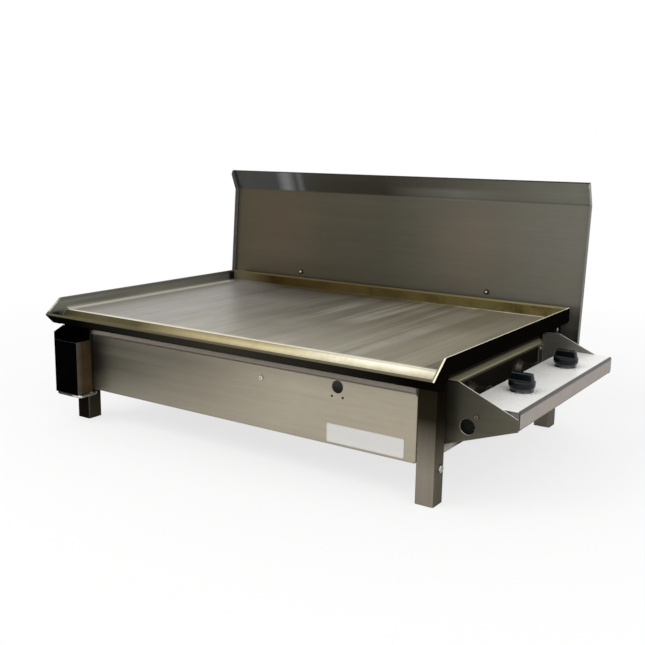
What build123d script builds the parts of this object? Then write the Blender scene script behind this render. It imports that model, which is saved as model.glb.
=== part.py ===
"""Built-in flat plate gas barbecue: a folded hotplate on a four-legged sheet metal body.

Millimetres, Z up, X to the right, Y to the back. The origin lies on the bench in the middle of the four legs.
"""

import os
from math import atan2, cos, radians, sin, sqrt

from build123d import *

os.makedirs("parts", exist_ok=True)

# Fits, and how far a cut runs past the face it starts from
TOUCH = 0.02
FIT = 0.05
SLIP = 0.2
GAP = 0.3
CUT = 1.0

# Fasteners
M4_R = 2.0
M4_HEAD_R = 3.6
M4_HEAD = 2.2
M4_L = 8.0
M5_R = 2.5
M5_HEAD_R = 4.6
M5_HEAD = 2.6
M5_FLAT = 4.0
M5_NUT = 4.0
M6_R = 3.0
M6_FLAT = 5.0
M6_HEAD = 4.0
M6_NUT = 5.0
HEAD_CHAMFER = 0.5
PAN_BEVEL = 0.45
COUNTERSINK = 20.0
BOLT_PROUD = 2.0
RIVET_R = 1.6
RIVET_HEAD_R = 3.1
RIVET_HEAD = 1.1
RIVET_TAIL_R = 2.3
RIVET_TAIL = 2.5

# Footprint of the legs, and the plate that overhangs it
PLATE_W = 700.0
OVERHANG = 17.5
FOOT_W = PLATE_W - 2 * OVERHANG
FOOT_D = 445.0
SKIN_Y = FOOT_D / 2

# Hotplate
PLATE_T = 4.0
PLATE_Z = 182.0
PLATE_UNDER = PLATE_Z - PLATE_T
UPSTAND = 20.0
FOLD_IN = 3.0
FOLD_OUT = FOLD_IN + PLATE_T
COVE = 6.0
BACK_GAP = 15.5
PLATE_BACK = SKIN_Y - BACK_GAP
FRONT_OVER = 4.5
BEND_Y = -SKIN_Y - FRONT_OVER
GUTTER_DEPTH = 19.8
GUTTER_Y = BEND_Y - GUTTER_DEPTH
GUTTER_Z = PLATE_Z - GUTTER_DEPTH
LIP_RISE = 18.0
BEVEL_RUN = 11.0
BEVEL_Y = BEND_Y - BEVEL_RUN
DRAIN_IN = 20.0
DRAIN_X = DRAIN_IN - PLATE_W / 2
DRAIN_R = 7.0

# Legs of square tube
LEG = 27.0
LEG_WALL = 1.6
LEG_CORNER = 2.4
LEG_X = FOOT_W / 2 - LEG / 2
LEG_Y = FOOT_D / 2 - LEG / 2

# Lugs under the plate that drop into the open tops of the legs
LUG_T = 3.0
LUG_L = 8.0
LUG_DROP = 28.0
LUG_X = FOOT_W / 2 - LEG_WALL - LUG_T / 2
LUG_Y = FOOT_D / 2 - LEG + LEG_CORNER + LUG_L / 2
LUG_SCREW_DROP = 13.0
LUG_SCREW_Z = PLATE_UNDER - LUG_SCREW_DROP

# Skirt panels of thin sheet
SHEET = 1.2
SHEET_FOLD = 2.0
SKIRT_BOTTOM = 53.0
SKIRT_DROP = 33.0
SKIRT_FOLD = PLATE_UNDER - SKIRT_DROP
BAND_IN = 10.0
BAND_UP = 9.0
BAND_MITRE = 11.0
RETURN = 20.0
HEM = 12.0
SIDE_INSET = 16.5
SIDE_X = FOOT_W / 2 - SIDE_INSET
FRONT_HALF = FOOT_W / 2 - LEG - GAP
SIDE_HALF = FOOT_D / 2 - LEG - GAP
LEG_BOLT_DROP = 3.5
LEG_BOLT_Z = SKIRT_BOTTOM - LEG_BOLT_DROP
LIGHT_X = 184.3
LIGHT_DROP = 9.4
LIGHT_Z = SKIRT_FOLD - LIGHT_DROP
LIGHT_R = 9.0
PILOT_R = 1.8
PILOT_DX = 8.7
PILOT_DROP = 14.0

# Control box on the right side
BOX_T = 1.5
BOX_FRONT_IN = 33.0
BOX_BACK_IN = 38.0
BOX_REACH = 112.5
BOX_DROP = 15.5
BOX_KNEE = 28.0
BOX_DEEP = 91.0
NOSE_DROP = 36.5
NOSE_H = 15.5
BOX_FRONT = BOX_FRONT_IN - SKIN_Y
BOX_BACK = SKIN_Y - BOX_BACK_IN
BOX_OUT = SIDE_X + BOX_REACH
BOX_TOP = PLATE_UNDER - BOX_DROP
BOX_KNEE_X = SIDE_X + BOX_KNEE
BOX_NOSE_TOP = BOX_TOP - NOSE_DROP
BOX_NOSE_LOW = BOX_NOSE_TOP - NOSE_H
BOX_INNER_LOW = BOX_TOP - BOX_DEEP
FASCIA_DROP = 25.9
FASCIA_GAP = 36.6
FASCIA_SHY = 1.0
FASCIA_Z = BOX_TOP - FASCIA_DROP
FASCIA_LOW = BOX_NOSE_LOW + FASCIA_SHY
FASCIA_IN = SIDE_X + FASCIA_GAP
FASCIA_RETURN = 7.0
FASCIA_HEM = 10.0
FLANGE_W = 16.0
FLANGE_UP = 25.0
FLANGE_DOWN = 3.0
FLANGE_LOW = SKIRT_BOTTOM + FLANGE_UP
FLANGE_HIGH = SKIRT_FOLD - FLANGE_DOWN
RIVET_IN = 10.0
RIVET_UP = 15.0
RIVET_DOWN = 5.0
RIVET_ROWS = (FLANGE_LOW + RIVET_UP, FLANGE_HIGH - RIVET_DOWN)
BOX_RIVETS = [(y, z) for y in (BOX_FRONT + RIVET_IN, BOX_BACK - RIVET_IN) for z in RIVET_ROWS]
TAB_L = 12.0
TAB_H = 9.0
LEDGE_W = 24.0

# Burners
KNOB_FRONT_IN = 96.5
KNOB_BACK_IN = 106.0
BURNER_DROP = 15.6
BURNER_SHY = 31.0
BURNER_OUT = 4.0
BURNER_Y = (BOX_FRONT + KNOB_FRONT_IN, BOX_BACK - KNOB_BACK_IN)
BURNER_Z = FASCIA_Z - BURNER_DROP
BURNER_R = 16.0
BURNER_WALL = 1.5
BURNER_LEFT = BURNER_SHY - SIDE_X
BURNER_NECK = SIDE_X + BURNER_OUT
NECK_TAPER = 8.0
THROAT_L = 7.0
FLARE_L = 11.0
BURNER_MOUTH = BURNER_NECK + NECK_TAPER + THROAT_L + FLARE_L
THROAT_R = 11.5
MOUTH_R = 15.2
PORT_W = 1.6
PORT_L = 8.0
PORT_PITCH = 24.0
PORT_MARGIN = 50.0
PORT_COUNT = 1 + int((BURNER_NECK - BURNER_LEFT - 2 * PORT_MARGIN) / PORT_PITCH)
PORT_ANGLE = 40.0
TONGUE_W = 12.0
TONGUE_T = 2.0
TONGUE_OUT = 9.0

# Cross bar under the burners
BAR_X = 55.6
BAR_W = 24.0
BAR_T = 1.5
BAR_DEEP = 13.0
BAR_TOP = BURNER_Z - BURNER_R - GAP
BAR_HALF = SKIN_Y - SHEET
BAR_SCREW_UP = 7.0
BAR_SCREW_Z = BURNER_Z + BAR_SCREW_UP
BAR_TAB = 8.0

# Gas rail, its inlet fitting and its brackets
RAIL_OUT = 44.0
RAIL_DROP = 16.0
RAIL_X = SIDE_X + RAIL_OUT
RAIL_Z = BURNER_Z - RAIL_DROP
RAIL_R = 8.0
RAIL_WALL = 1.5
PORTHOLE_R = 10.5
HEX_L = 10.0
HEX_GAP = 3.0
RAIL_SHY = 4.0
RAIL_FRONT = BOX_FRONT + BOX_T + RAIL_SHY
RAIL_BACK = BOX_BACK - BOX_T - HEX_GAP - HEX_L
SPIGOT_L = 15.0
THREAD_R = 7.9
THREAD_L = 20.0
SHANK_R = 6.9
SHANK_PROUD = 1.0
SHANK_L = HEX_GAP + BOX_T + SHANK_PROUD
THREAD_END = 2.5
INLET_BORE = 4.0
BRACKET_W = 14.0
BRACKET_L = 22.0
BRACKET_OVER = 6.0
CLIP_OUT = 11.7
CLIP_UP = 14.7
CLIP_X = RAIL_X + CLIP_OUT
CLIP_Z = RAIL_Z + CLIP_UP

# Valves and injectors
KNOB_OUT = 75.7
KNOB_X = SIDE_X + KNOB_OUT
VALVE_W = 22.0
VALVE_D = 20.0
VALVE_CORNER = 2.5
VALVE_DROP = 10.6
VALVE_H = 29.0
VALVE_TOP = FASCIA_Z - VALVE_DROP
VALVE_LOW = VALVE_TOP - VALVE_H
BONNET_R = 9.5
BONNET_UP = 5.0
NECK_R = 6.9
NECK_PROUD = 1.4
NECK_TOP = FASCIA_Z + NECK_PROUD
INLET_R = 6.0
OUTLET_R = 5.5
NIPPLE_R = 4.0
NIPPLE_L = 4.0
OUTLET_L = 17.7
INJECTOR_X = KNOB_X - OUTLET_L
INJECTOR_R = 4.0
INJECTOR_HEX = 8.0
INJECTOR_TIP = 7.0
INJECTOR_TAPER = 15.0
INJECTOR_BORE = 0.6
INJECTOR_SHY = 4.0
INJECTOR_NOSE_X = BURNER_MOUTH + INJECTOR_SHY

# Knob, spindle, thrust washer and return spring
PUSH = 3.5
SPINDLE_R = 3.0
SPINDLE_FLAT = 2.0
SPRING_L = 9.0
SPINDLE_IN = 32.0
WASHER_Z = NECK_TOP + SPRING_L
WASHER_T = 1.2
WASHER_R = 7.0
SPINDLE_LOW = WASHER_Z - SPINDLE_IN
SPRING_R = 5.0
SPRING_WIRE = 0.6
SPRING_TURNS = 4
KNOB_R = 18.0
KNOB_FOOT_R = 17.0
KNOB_WALL = 1.3
KNOB_EDGE = 1.2
KNOB_GAP = 5.4
KNOB_DRUM = 9.5
KNOB_FLARE = 3.0
KNOB_SKIN = 1.8
KNOB_BORE = 14.0
KNOB_LOW = FASCIA_Z + KNOB_GAP
KNOB_SHOULDER = KNOB_LOW + KNOB_DRUM
KNOB_HOLLOW_TOP = KNOB_SHOULDER - KNOB_SKIN
KNOB_ROOF = KNOB_LOW + KNOB_BORE
KNOB_BOSS_R = 6.5
GRIP_R = 16.6
GRIP_W = 13.0
GRIP_UP = 10.0
GRIP_TAPER = 12.0
GRIP_BEVEL = 1.0
BEZEL_R = 14.6
BEZEL_IN = 11.0
BEZEL_INTO = 2.5
BEZEL_TOP = KNOB_LOW + BEZEL_INTO
BEZEL_BRIM = 1.4
BEZEL_BRIM_T = 1.2

# Splashback
SPLASH_SIDE = 14.0
SPLASH_LAP = 7.0
SPLASH_FOOT = 12.0
SPLASH_BACK = 15.5
SPLASH_UP = 183.0
BAND_FORWARD = 15.4
BAND_RISE = 36.4
SPLASH_W = PLATE_W + 2 * SPLASH_SIDE
SPLASH_LOW = SKIRT_FOLD - SPLASH_LAP
SPLASH_BEND = SPLASH_LOW + SPLASH_FOOT
SPLASH_FOLD_Y = SKIN_Y + SPLASH_BACK
SPLASH_FOLD_Z = PLATE_Z + SPLASH_UP
SPLASH_TOP_Y = SPLASH_FOLD_Y - BAND_FORWARD
SPLASH_TOP_Z = SPLASH_FOLD_Z + BAND_RISE
SPLASH_ROUND = 6.0
SPLASH_RIM = 8.0
SPLASH_CLIP = 16.0
SPLASH_CLIP_IN = 2.0
LEAN = atan2(SPLASH_FOLD_Y - SKIN_Y, SPLASH_FOLD_Z - SPLASH_BEND)

# Straps behind the splashback
STRAP_X = 196.0
STRAP_W = 25.0
STRAP_T = 3.0
STRAP_UP = 20.0
STRAP_REACH = 72.0
STRAP_END = 12.0
STRAP_RIVET_IN = 10.0
STRAP_RIVET_PITCH = 20.0
JOGGLE_GAP = 2.0
JOGGLE_L = 10.0
STRAP_LOW = SKIRT_BOTTOM + STRAP_UP
STRAP_HIGH = SPLASH_BEND + STRAP_REACH
STRAP_SCREW_Z = STRAP_HIGH - STRAP_END
STRAP_RIVETS = (STRAP_LOW + STRAP_RIVET_IN, STRAP_LOW + STRAP_RIVET_IN + STRAP_RIVET_PITCH)
JOGGLE_HIGH = SPLASH_LOW - JOGGLE_GAP
JOGGLE_LOW = JOGGLE_HIGH - JOGGLE_L
SPLASH_FACE = Plane(
    (0, SKIN_Y + (STRAP_SCREW_Z - SPLASH_BEND) * sin(LEAN) / cos(LEAN), STRAP_SCREW_Z),
    x_dir=(1, 0, 0),
    z_dir=(0, -cos(LEAN), sin(LEAN)),
)

# Grease can under the drain
CAN_OFF = 9.7
CAN_CLEAR = 0.5
CAN_W = 53.5
CAN_D = 32.7
CAN_DROP = 4.0
CAN_UNDER = 2.2
CAN_RIM_DOWN = 20.0
CAN_SIDE_DOWN = 8.5
CAN_SLOPE = 20.0
CAN_X = DRAIN_X + CAN_OFF
CAN_BACK = -SKIN_Y - CAN_CLEAR
CAN_FRONT = CAN_BACK - CAN_D
CAN_LOW = SKIRT_BOTTOM - CAN_DROP
CAN_PEAK = GUTTER_Z - PLATE_T - CAN_UNDER
CAN_RIM = CAN_PEAK - CAN_RIM_DOWN
CAN_SIDE = CAN_PEAK - CAN_SIDE_DOWN
CAN_T = 1.0
CAN_CORNER = 2.5

# Wire cradle of the can
WIRE_R = 2.5
WIRE_IN = 3.0
WIRE_OUT = 2.5
WIRE_LAP = 4.5
WIRE_LEFT = CAN_X - CAN_W / 2 + WIRE_IN
WIRE_RIGHT = CAN_X + CAN_W / 2 + WIRE_OUT
WIRE_FRONT = CAN_FRONT + WIRE_IN
WIRE_END_Y = CAN_BACK + WIRE_LAP

CORNERS = ((-1, -1), (1, -1), (-1, 1), (1, 1))


def save(part, label):
    """Labels a finished part and writes it to its own file."""
    part.label = label
    export_step(part, f"parts/{label}.step")


# Folded hotplate with gutter, closed ends, drain and four locating lugs
with BuildPart() as hotplate:
    with BuildSketch(Plane.YZ.offset(-PLATE_W / 2)):
        with BuildLine():
            rear = Line((PLATE_BACK - PLATE_T, PLATE_Z + UPSTAND), (PLATE_BACK - PLATE_T, PLATE_Z + FOLD_IN))
            turn = TangentArc(rear @ 1, (PLATE_BACK - FOLD_OUT, PLATE_Z), tangent=rear % 1)
            FilletPolyline(
                turn @ 1,
                (BEND_Y, PLATE_Z),
                (GUTTER_Y, GUTTER_Z),
                (GUTTER_Y - LIP_RISE, GUTTER_Z + LIP_RISE),
                radius=FOLD_OUT,
            )
            offset(amount=PLATE_T, side=Side.LEFT)
        make_face()
    extrude(amount=PLATE_W)
    # End upstands, bevelled down to the lip
    for side in (-1, 1):
        with BuildSketch(Plane.YZ.offset(side * PLATE_W / 2)):
            Polygon(
                (PLATE_BACK - PLATE_T / 2, PLATE_Z + UPSTAND),
                (BEVEL_Y, PLATE_Z + UPSTAND),
                (GUTTER_Y - LIP_RISE, GUTTER_Z + LIP_RISE),
                (GUTTER_Y, GUTTER_Z - PLATE_T / 4),
                (BEND_Y, PLATE_Z - PLATE_T / 2),
                (PLATE_BACK - PLATE_T / 2, PLATE_Z - PLATE_T / 2),
                align=None,
            )
        extrude(amount=-side * PLATE_T)
        # Rounded inner corner where the plate turns up
        with BuildSketch(Plane.XZ.offset(-BEND_Y)):
            with BuildLine():
                wall = side * (PLATE_W / 2 - PLATE_T)
                low = Line((wall - side * COVE, PLATE_Z), (wall, PLATE_Z))
                high = Line(low @ 1, (wall, PLATE_Z + COVE))
                ThreePointArc(
                    high @ 1,
                    (wall - side * COVE * (1 - sqrt(0.5)), PLATE_Z + COVE * (1 - sqrt(0.5))),
                    low @ 0,
                )
            make_face()
        extrude(amount=BEND_Y - PLATE_BACK + PLATE_T)
    # Drain hole through the gutter's lowest line
    with BuildSketch(Plane.XY.offset(GUTTER_Z - 3 * PLATE_T)):
        with Locations((DRAIN_X, GUTTER_Y)):
            Circle(DRAIN_R)
    extrude(amount=6 * PLATE_T, mode=Mode.SUBTRACT)
    # Lugs that drop into the open tops of the legs
    with BuildSketch(Plane.XY.offset(PLATE_UNDER - LUG_DROP)):
        with Locations(*[(sx * LUG_X, sy * LUG_Y) for sx, sy in CORNERS]):
            Rectangle(LUG_T, LUG_L)
    extrude(amount=LUG_DROP + PLATE_T / 2)
    with BuildSketch(Plane.YZ.offset(-FOOT_W / 2)):
        with Locations((-LUG_Y, LUG_SCREW_Z), (LUG_Y, LUG_SCREW_Z)):
            Circle(M4_R + FIT)
    extrude(amount=FOOT_W, mode=Mode.SUBTRACT)
save(hotplate.part, "hotplate")

# Four legs of square tube, drilled for the foot bolt and the lug screw
for (sx, sy), label in zip(CORNERS, ("leg_front_left", "leg_front_right", "leg_rear_left", "leg_rear_right")):
    with BuildPart() as leg:
        with BuildSketch(Plane.XY):
            with Locations((sx * LEG_X, sy * LEG_Y)):
                RectangleRounded(LEG, LEG, LEG_CORNER)
                RectangleRounded(
                    LEG - 2 * LEG_WALL, LEG - 2 * LEG_WALL, LEG_CORNER - LEG_WALL, mode=Mode.SUBTRACT
                )
        extrude(amount=PLATE_UNDER)
        with BuildSketch(Plane.YZ.offset(sx * FOOT_W / 2)):
            with Locations((sy * LEG_Y, LEG_BOLT_Z)):
                Circle(M6_R + SLIP)
            with Locations((sy * LUG_Y, LUG_SCREW_Z)):
                Circle(M4_R + SLIP)
        extrude(amount=-sx * 2 * LEG_WALL, mode=Mode.SUBTRACT)
    save(leg.part, label)

# Hexagon bolts through the outer wall of each leg
with BuildPart() as leg_bolts:
    with BuildSketch(Plane.YZ.offset(FOOT_W / 2)):
        with Locations((-LEG_Y, LEG_BOLT_Z), (LEG_Y, LEG_BOLT_Z)):
            RegularPolygon(M6_FLAT, 6, major_radius=False)
    extrude(amount=M6_HEAD)
    chamfer(leg_bolts.faces().sort_by(Axis.X)[-2:].edges(), HEAD_CHAMFER)
    with BuildSketch(Plane.YZ.offset(FOOT_W / 2)):
        with Locations((-LEG_Y, LEG_BOLT_Z), (LEG_Y, LEG_BOLT_Z)):
            Circle(M6_R)
    extrude(amount=-(LEG_WALL + M6_NUT + BOLT_PROUD))
    mirror(about=Plane.YZ)
save(leg_bolts.part, "leg_bolts")

# Nuts of those bolts inside the tubes
with BuildPart() as leg_nuts:
    with BuildSketch(Plane.YZ.offset(FOOT_W / 2 - LEG_WALL)):
        with Locations((-LEG_Y, LEG_BOLT_Z), (LEG_Y, LEG_BOLT_Z)):
            RegularPolygon(M6_FLAT, 6, major_radius=False)
            Circle(M6_R + TOUCH, mode=Mode.SUBTRACT)
    extrude(amount=-M6_NUT)
    mirror(about=Plane.YZ)
save(leg_nuts.part, "leg_nuts")

# Pan head screws that hold the hotplate's lugs in the legs
with BuildPart() as plate_screws:
    with BuildSketch(Plane.YZ.offset(FOOT_W / 2)):
        with Locations((-LUG_Y, LUG_SCREW_Z), (LUG_Y, LUG_SCREW_Z)):
            Circle(M4_HEAD_R)
    extrude(amount=M4_HEAD)
    chamfer(plate_screws.faces().sort_by(Axis.X)[-2:].edges(), M4_HEAD * PAN_BEVEL)
    with BuildSketch(Plane.YZ.offset(FOOT_W / 2)):
        with Locations((-LUG_Y, LUG_SCREW_Z), (LUG_Y, LUG_SCREW_Z)):
            Circle(M4_R)
    extrude(amount=-(LEG_WALL + LUG_T + BOLT_PROUD))
    mirror(about=Plane.YZ)
save(plate_screws.part, "plate_screws")

# Front and rear skirt panels, flush between the legs
for sy, label in ((-1, "front_panel"), (1, "rear_panel")):
    with BuildPart() as panel:
        with BuildSketch(Plane.XY.offset(SKIRT_BOTTOM + SHEET_FOLD)):
            with BuildLine():
                FilletPolyline(
                    (FRONT_HALF, sy * (SKIN_Y - RETURN)),
                    (FRONT_HALF, sy * SKIN_Y),
                    (-FRONT_HALF, sy * SKIN_Y),
                    (-FRONT_HALF, sy * (SKIN_Y - RETURN)),
                    radius=SHEET_FOLD,
                )
                offset(amount=SHEET, side=Side.RIGHT if sy < 0 else Side.LEFT)
            make_face()
        extrude(amount=SKIRT_FOLD - SKIRT_BOTTOM - 2 * SHEET_FOLD)
        # Bottom hem, and a band leaning in above the front's fold; the rear goes up straight behind the splashback
        skirt_top = SKIRT_FOLD + BAND_UP
        if sy < 0:
            upper = [(-SKIN_Y, SKIRT_FOLD), (BAND_IN - SKIN_Y, skirt_top)]
        else:
            upper = [(SKIN_Y, skirt_top)]
        with BuildSketch(Plane.YZ.offset(-FRONT_HALF + SHEET_FOLD)):
            with BuildLine():
                FilletPolyline(
                    (sy * (SKIN_Y - HEM), SKIRT_BOTTOM),
                    (sy * SKIN_Y, SKIRT_BOTTOM),
                    *upper,
                    radius=SHEET_FOLD,
                )
                offset(amount=SHEET, side=Side.RIGHT if sy < 0 else Side.LEFT)
            make_face()
        extrude(amount=2 * (FRONT_HALF - SHEET_FOLD))
        # Screw hole of the cross bar
        with BuildSketch(Plane.XZ.offset(-sy * (SKIN_Y + CUT))):
            with Locations((BAR_X, BAR_SCREW_Z)):
                Circle(M4_R + SLIP)
        extrude(amount=sy * (SHEET + 2 * CUT), mode=Mode.SUBTRACT)
        if sy < 0:
            # Mitred ends of the band
            for sx in (-1, 1):
                with BuildSketch(Plane.XZ.offset(SKIN_Y + CUT)):
                    Polygon(
                        (sx * (FRONT_HALF + CUT), SKIRT_FOLD - CUT),
                        (sx * (FRONT_HALF - SHEET_FOLD), SKIRT_FOLD),
                        (sx * (FRONT_HALF - BAND_MITRE), SKIRT_FOLD + BAND_UP + 2 * CUT),
                        (sx * (FRONT_HALF + CUT), SKIRT_FOLD + BAND_UP + 2 * CUT),
                        align=None,
                    )
                extrude(amount=-RETURN, mode=Mode.SUBTRACT)
            # Lighting hole with its two pilot holes
            with BuildSketch(Plane.XZ.offset(SKIN_Y + CUT)):
                with Locations((LIGHT_X, LIGHT_Z)):
                    Circle(LIGHT_R)
                with Locations(
                    (LIGHT_X + PILOT_DX, LIGHT_Z - PILOT_DROP), (LIGHT_X - PILOT_DX, LIGHT_Z - PILOT_DROP)
                ):
                    Circle(PILOT_R)
            extrude(amount=-SHEET - 2 * CUT, mode=Mode.SUBTRACT)
        else:
            # Rivet holes of the splashback straps
            with BuildSketch(Plane.XZ.offset(-SKIN_Y - CUT)):
                with Locations(*[(sx * STRAP_X, z) for sx in (-1, 1) for z in STRAP_RIVETS]):
                    Circle(RIVET_R + FIT)
            extrude(amount=SHEET + 2 * CUT, mode=Mode.SUBTRACT)
    save(panel.part, label)

# Side skirt panels, set in at the middle of the legs
for sx, label in ((-1, "side_panel_left"), (1, "side_panel_right")):
    with BuildPart() as panel:
        with BuildSketch(Plane.XY.offset(SKIRT_BOTTOM + SHEET_FOLD)):
            with BuildLine():
                FilletPolyline(
                    (sx * (SIDE_X - RETURN), -SIDE_HALF),
                    (sx * SIDE_X, -SIDE_HALF),
                    (sx * SIDE_X, SIDE_HALF),
                    (sx * (SIDE_X - RETURN), SIDE_HALF),
                    radius=SHEET_FOLD,
                )
                offset(amount=SHEET, side=Side.LEFT if sx > 0 else Side.RIGHT)
            make_face()
        extrude(amount=SKIRT_FOLD - SKIRT_BOTTOM - 2 * SHEET_FOLD)
        with BuildSketch(Plane.XZ.offset(SIDE_HALF - SHEET_FOLD)):
            with BuildLine():
                FilletPolyline(
                    (sx * (SIDE_X - HEM), SKIRT_BOTTOM),
                    (sx * SIDE_X, SKIRT_BOTTOM),
                    (sx * SIDE_X, SKIRT_FOLD),
                    (sx * (SIDE_X - BAND_IN), SKIRT_FOLD + BAND_UP),
                    radius=SHEET_FOLD,
                )
                offset(amount=SHEET, side=Side.LEFT if sx > 0 else Side.RIGHT)
            make_face()
        extrude(amount=-2 * (SIDE_HALF - SHEET_FOLD))
        for sy in (-1, 1):
            with BuildSketch(Plane.YZ.offset(sx * (SIDE_X + CUT))):
                Polygon(
                    (sy * (SIDE_HALF + CUT), SKIRT_FOLD - CUT),
                    (sy * (SIDE_HALF - SHEET_FOLD), SKIRT_FOLD),
                    (sy * (SIDE_HALF - BAND_MITRE), SKIRT_FOLD + BAND_UP + 2 * CUT),
                    (sy * (SIDE_HALF + CUT), SKIRT_FOLD + BAND_UP + 2 * CUT),
                    align=None,
                )
            extrude(amount=-sx * RETURN, mode=Mode.SUBTRACT)
        # Round holes for the burner necks on the right, slots for their tongues on the left
        with BuildSketch(Plane.YZ.offset(sx * (SIDE_X + CUT))):
            with Locations(*[(y, BURNER_Z) for y in BURNER_Y]):
                if sx > 0:
                    Circle(BURNER_R + SLIP)
                else:
                    Rectangle(TONGUE_W + 2 * SLIP, TONGUE_T + 2 * SLIP)
        extrude(amount=-sx * (SHEET + 2 * CUT), mode=Mode.SUBTRACT)
        if sx > 0:
            # Rivet holes of the control box end plates
            with BuildSketch(Plane.YZ.offset(SIDE_X + CUT)):
                with Locations(*BOX_RIVETS):
                    Circle(RIVET_R + FIT)
            extrude(amount=-SHEET - 2 * CUT, mode=Mode.SUBTRACT)
    save(panel.part, label)

# Cross bar of folded channel that carries both burners
with BuildPart() as cross_bar:
    with BuildSketch(Plane.XZ.offset(BAR_HALF)):
        with BuildLine():
            FilletPolyline(
                (BAR_X - BAR_W / 2, BAR_TOP - BAR_DEEP),
                (BAR_X - BAR_W / 2, BAR_TOP),
                (BAR_X + BAR_W / 2, BAR_TOP),
                (BAR_X + BAR_W / 2, BAR_TOP - BAR_DEEP),
                radius=SHEET_FOLD,
            )
            offset(amount=BAR_T, side=Side.RIGHT)
        make_face()
    extrude(amount=-2 * BAR_HALF)
    # Tabs turned up against the panels
    for sy in (-1, 1):
        with BuildSketch(Plane.XZ.offset(-sy * BAR_HALF)):
            with Locations((BAR_X, BAR_TOP - BAR_T)):
                Rectangle(
                    BAR_W - 2 * SHEET_FOLD,
                    BAR_SCREW_Z - BAR_TOP + BAR_TAB,
                    align=(Align.CENTER, Align.MIN),
                )
            with Locations((BAR_X, BAR_SCREW_Z)):
                Circle(M4_R + FIT, mode=Mode.SUBTRACT)
        extrude(amount=sy * BAR_T)
save(cross_bar.part, "cross_bar")

# Screws through the panels into the cross bar's tabs
with BuildPart() as bar_screws:
    with BuildSketch(Plane.XZ.offset(SKIN_Y)):
        with Locations((BAR_X, BAR_SCREW_Z)):
            Circle(M4_HEAD_R)
    extrude(amount=M4_HEAD)
    chamfer(bar_screws.faces().sort_by(Axis.Y)[0].edges(), M4_HEAD * PAN_BEVEL)
    with BuildSketch(Plane.XZ.offset(SKIN_Y)):
        with Locations((BAR_X, BAR_SCREW_Z)):
            Circle(M4_R)
    extrude(amount=-M4_L)
    mirror(about=Plane.XZ)
save(bar_screws.part, "bar_screws")

# Tube burners with a necked air mouth, two rows of sawn ports and a closed end with a tongue
for y, label in zip(BURNER_Y, ("burner_front", "burner_rear")):
    with BuildPart() as burner:
        with BuildSketch(Plane((0, y, BURNER_Z), x_dir=(1, 0, 0), z_dir=(0, -1, 0))):
            with BuildLine():
                shell = Polyline(
                    (BURNER_LEFT, 0),
                    (BURNER_LEFT, BURNER_R),
                    (BURNER_NECK, BURNER_R),
                    (BURNER_NECK + NECK_TAPER, THROAT_R),
                    (BURNER_NECK + NECK_TAPER + THROAT_L, THROAT_R),
                    (BURNER_MOUTH, MOUTH_R),
                    (BURNER_MOUTH, MOUTH_R - BURNER_WALL),
                    (BURNER_NECK + NECK_TAPER + THROAT_L, THROAT_R - BURNER_WALL),
                    (BURNER_NECK + NECK_TAPER, THROAT_R - BURNER_WALL),
                    (BURNER_NECK - BURNER_WALL / 2, BURNER_R - BURNER_WALL),
                    (BURNER_LEFT + BURNER_WALL, BURNER_R - BURNER_WALL),
                    (BURNER_LEFT + BURNER_WALL, 0),
                    close=True,
                )
            make_face()
        revolve(axis=Axis((0, y, BURNER_Z), (1, 0, 0)))
        for turn_by in (-PORT_ANGLE, PORT_ANGLE):
            lean = radians(turn_by)
            with BuildSketch(Plane((0, y, BURNER_Z), x_dir=(1, 0, 0), z_dir=(0, sin(lean), cos(lean)))):
                with Locations((BURNER_LEFT + (BURNER_NECK - BURNER_LEFT) / 2, 0)):
                    with GridLocations(PORT_PITCH, 1, PORT_COUNT, 1):
                        Rectangle(PORT_W, PORT_L)
            extrude(amount=BURNER_R + CUT, mode=Mode.SUBTRACT)
        with BuildSketch(Plane.YZ.offset(BURNER_LEFT)):
            with Locations((y, BURNER_Z)):
                Rectangle(TONGUE_W, TONGUE_T)
        extrude(amount=-SIDE_X - TONGUE_OUT - BURNER_LEFT)
    save(burner.part, label)

# Control box end plates with a foot on the side panel and a tab behind the nose
for face, inward, label in ((BOX_FRONT, 1, "end_plate_front"), (BOX_BACK, -1, "end_plate_rear")):
    with BuildPart() as end_plate:
        nose = BOX_OUT - SHEET
        with BuildSketch(Plane.XZ.offset(-face)):
            Polygon(
                (SIDE_X, BOX_INNER_LOW),
                (nose, BOX_NOSE_LOW),
                (nose, BOX_NOSE_TOP),
                (BOX_KNEE_X, BOX_TOP),
                (SIDE_X, BOX_TOP),
                align=None,
            )
            with Locations((RAIL_X, RAIL_Z)):
                Circle(PORTHOLE_R, mode=Mode.SUBTRACT)
            with Locations((CLIP_X, CLIP_Z)):
                Circle(M4_R + SLIP, mode=Mode.SUBTRACT)
        extrude(amount=-inward * BOX_T)
        inner = face + inward * BOX_T
        # Foot flange on the side panel
        with BuildSketch(Plane.YZ.offset(SIDE_X)):
            with Locations((inner + inward * FLANGE_W / 2, (FLANGE_LOW + FLANGE_HIGH) / 2)):
                Rectangle(FLANGE_W, FLANGE_HIGH - FLANGE_LOW)
            with Locations(*[(face + inward * RIVET_IN, z) for z in RIVET_ROWS]):
                Circle(RIVET_R + FIT, mode=Mode.SUBTRACT)
        extrude(amount=BOX_T)
        # Tab behind the fascia's lip and ledge under its top
        with BuildSketch(Plane.YZ.offset(nose)):
            with Locations((inner + inward * TAB_L / 2, BOX_NOSE_LOW + TAB_H)):
                Rectangle(TAB_L, TAB_H)
        extrude(amount=-BOX_T)
        with BuildSketch(Plane.XY.offset(FASCIA_Z - SHEET)):
            with Locations((KNOB_X, inner + inward * TAB_L / 2)):
                Rectangle(LEDGE_W, TAB_L)
        extrude(amount=-BOX_T)
    save(end_plate.part, label)

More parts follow.
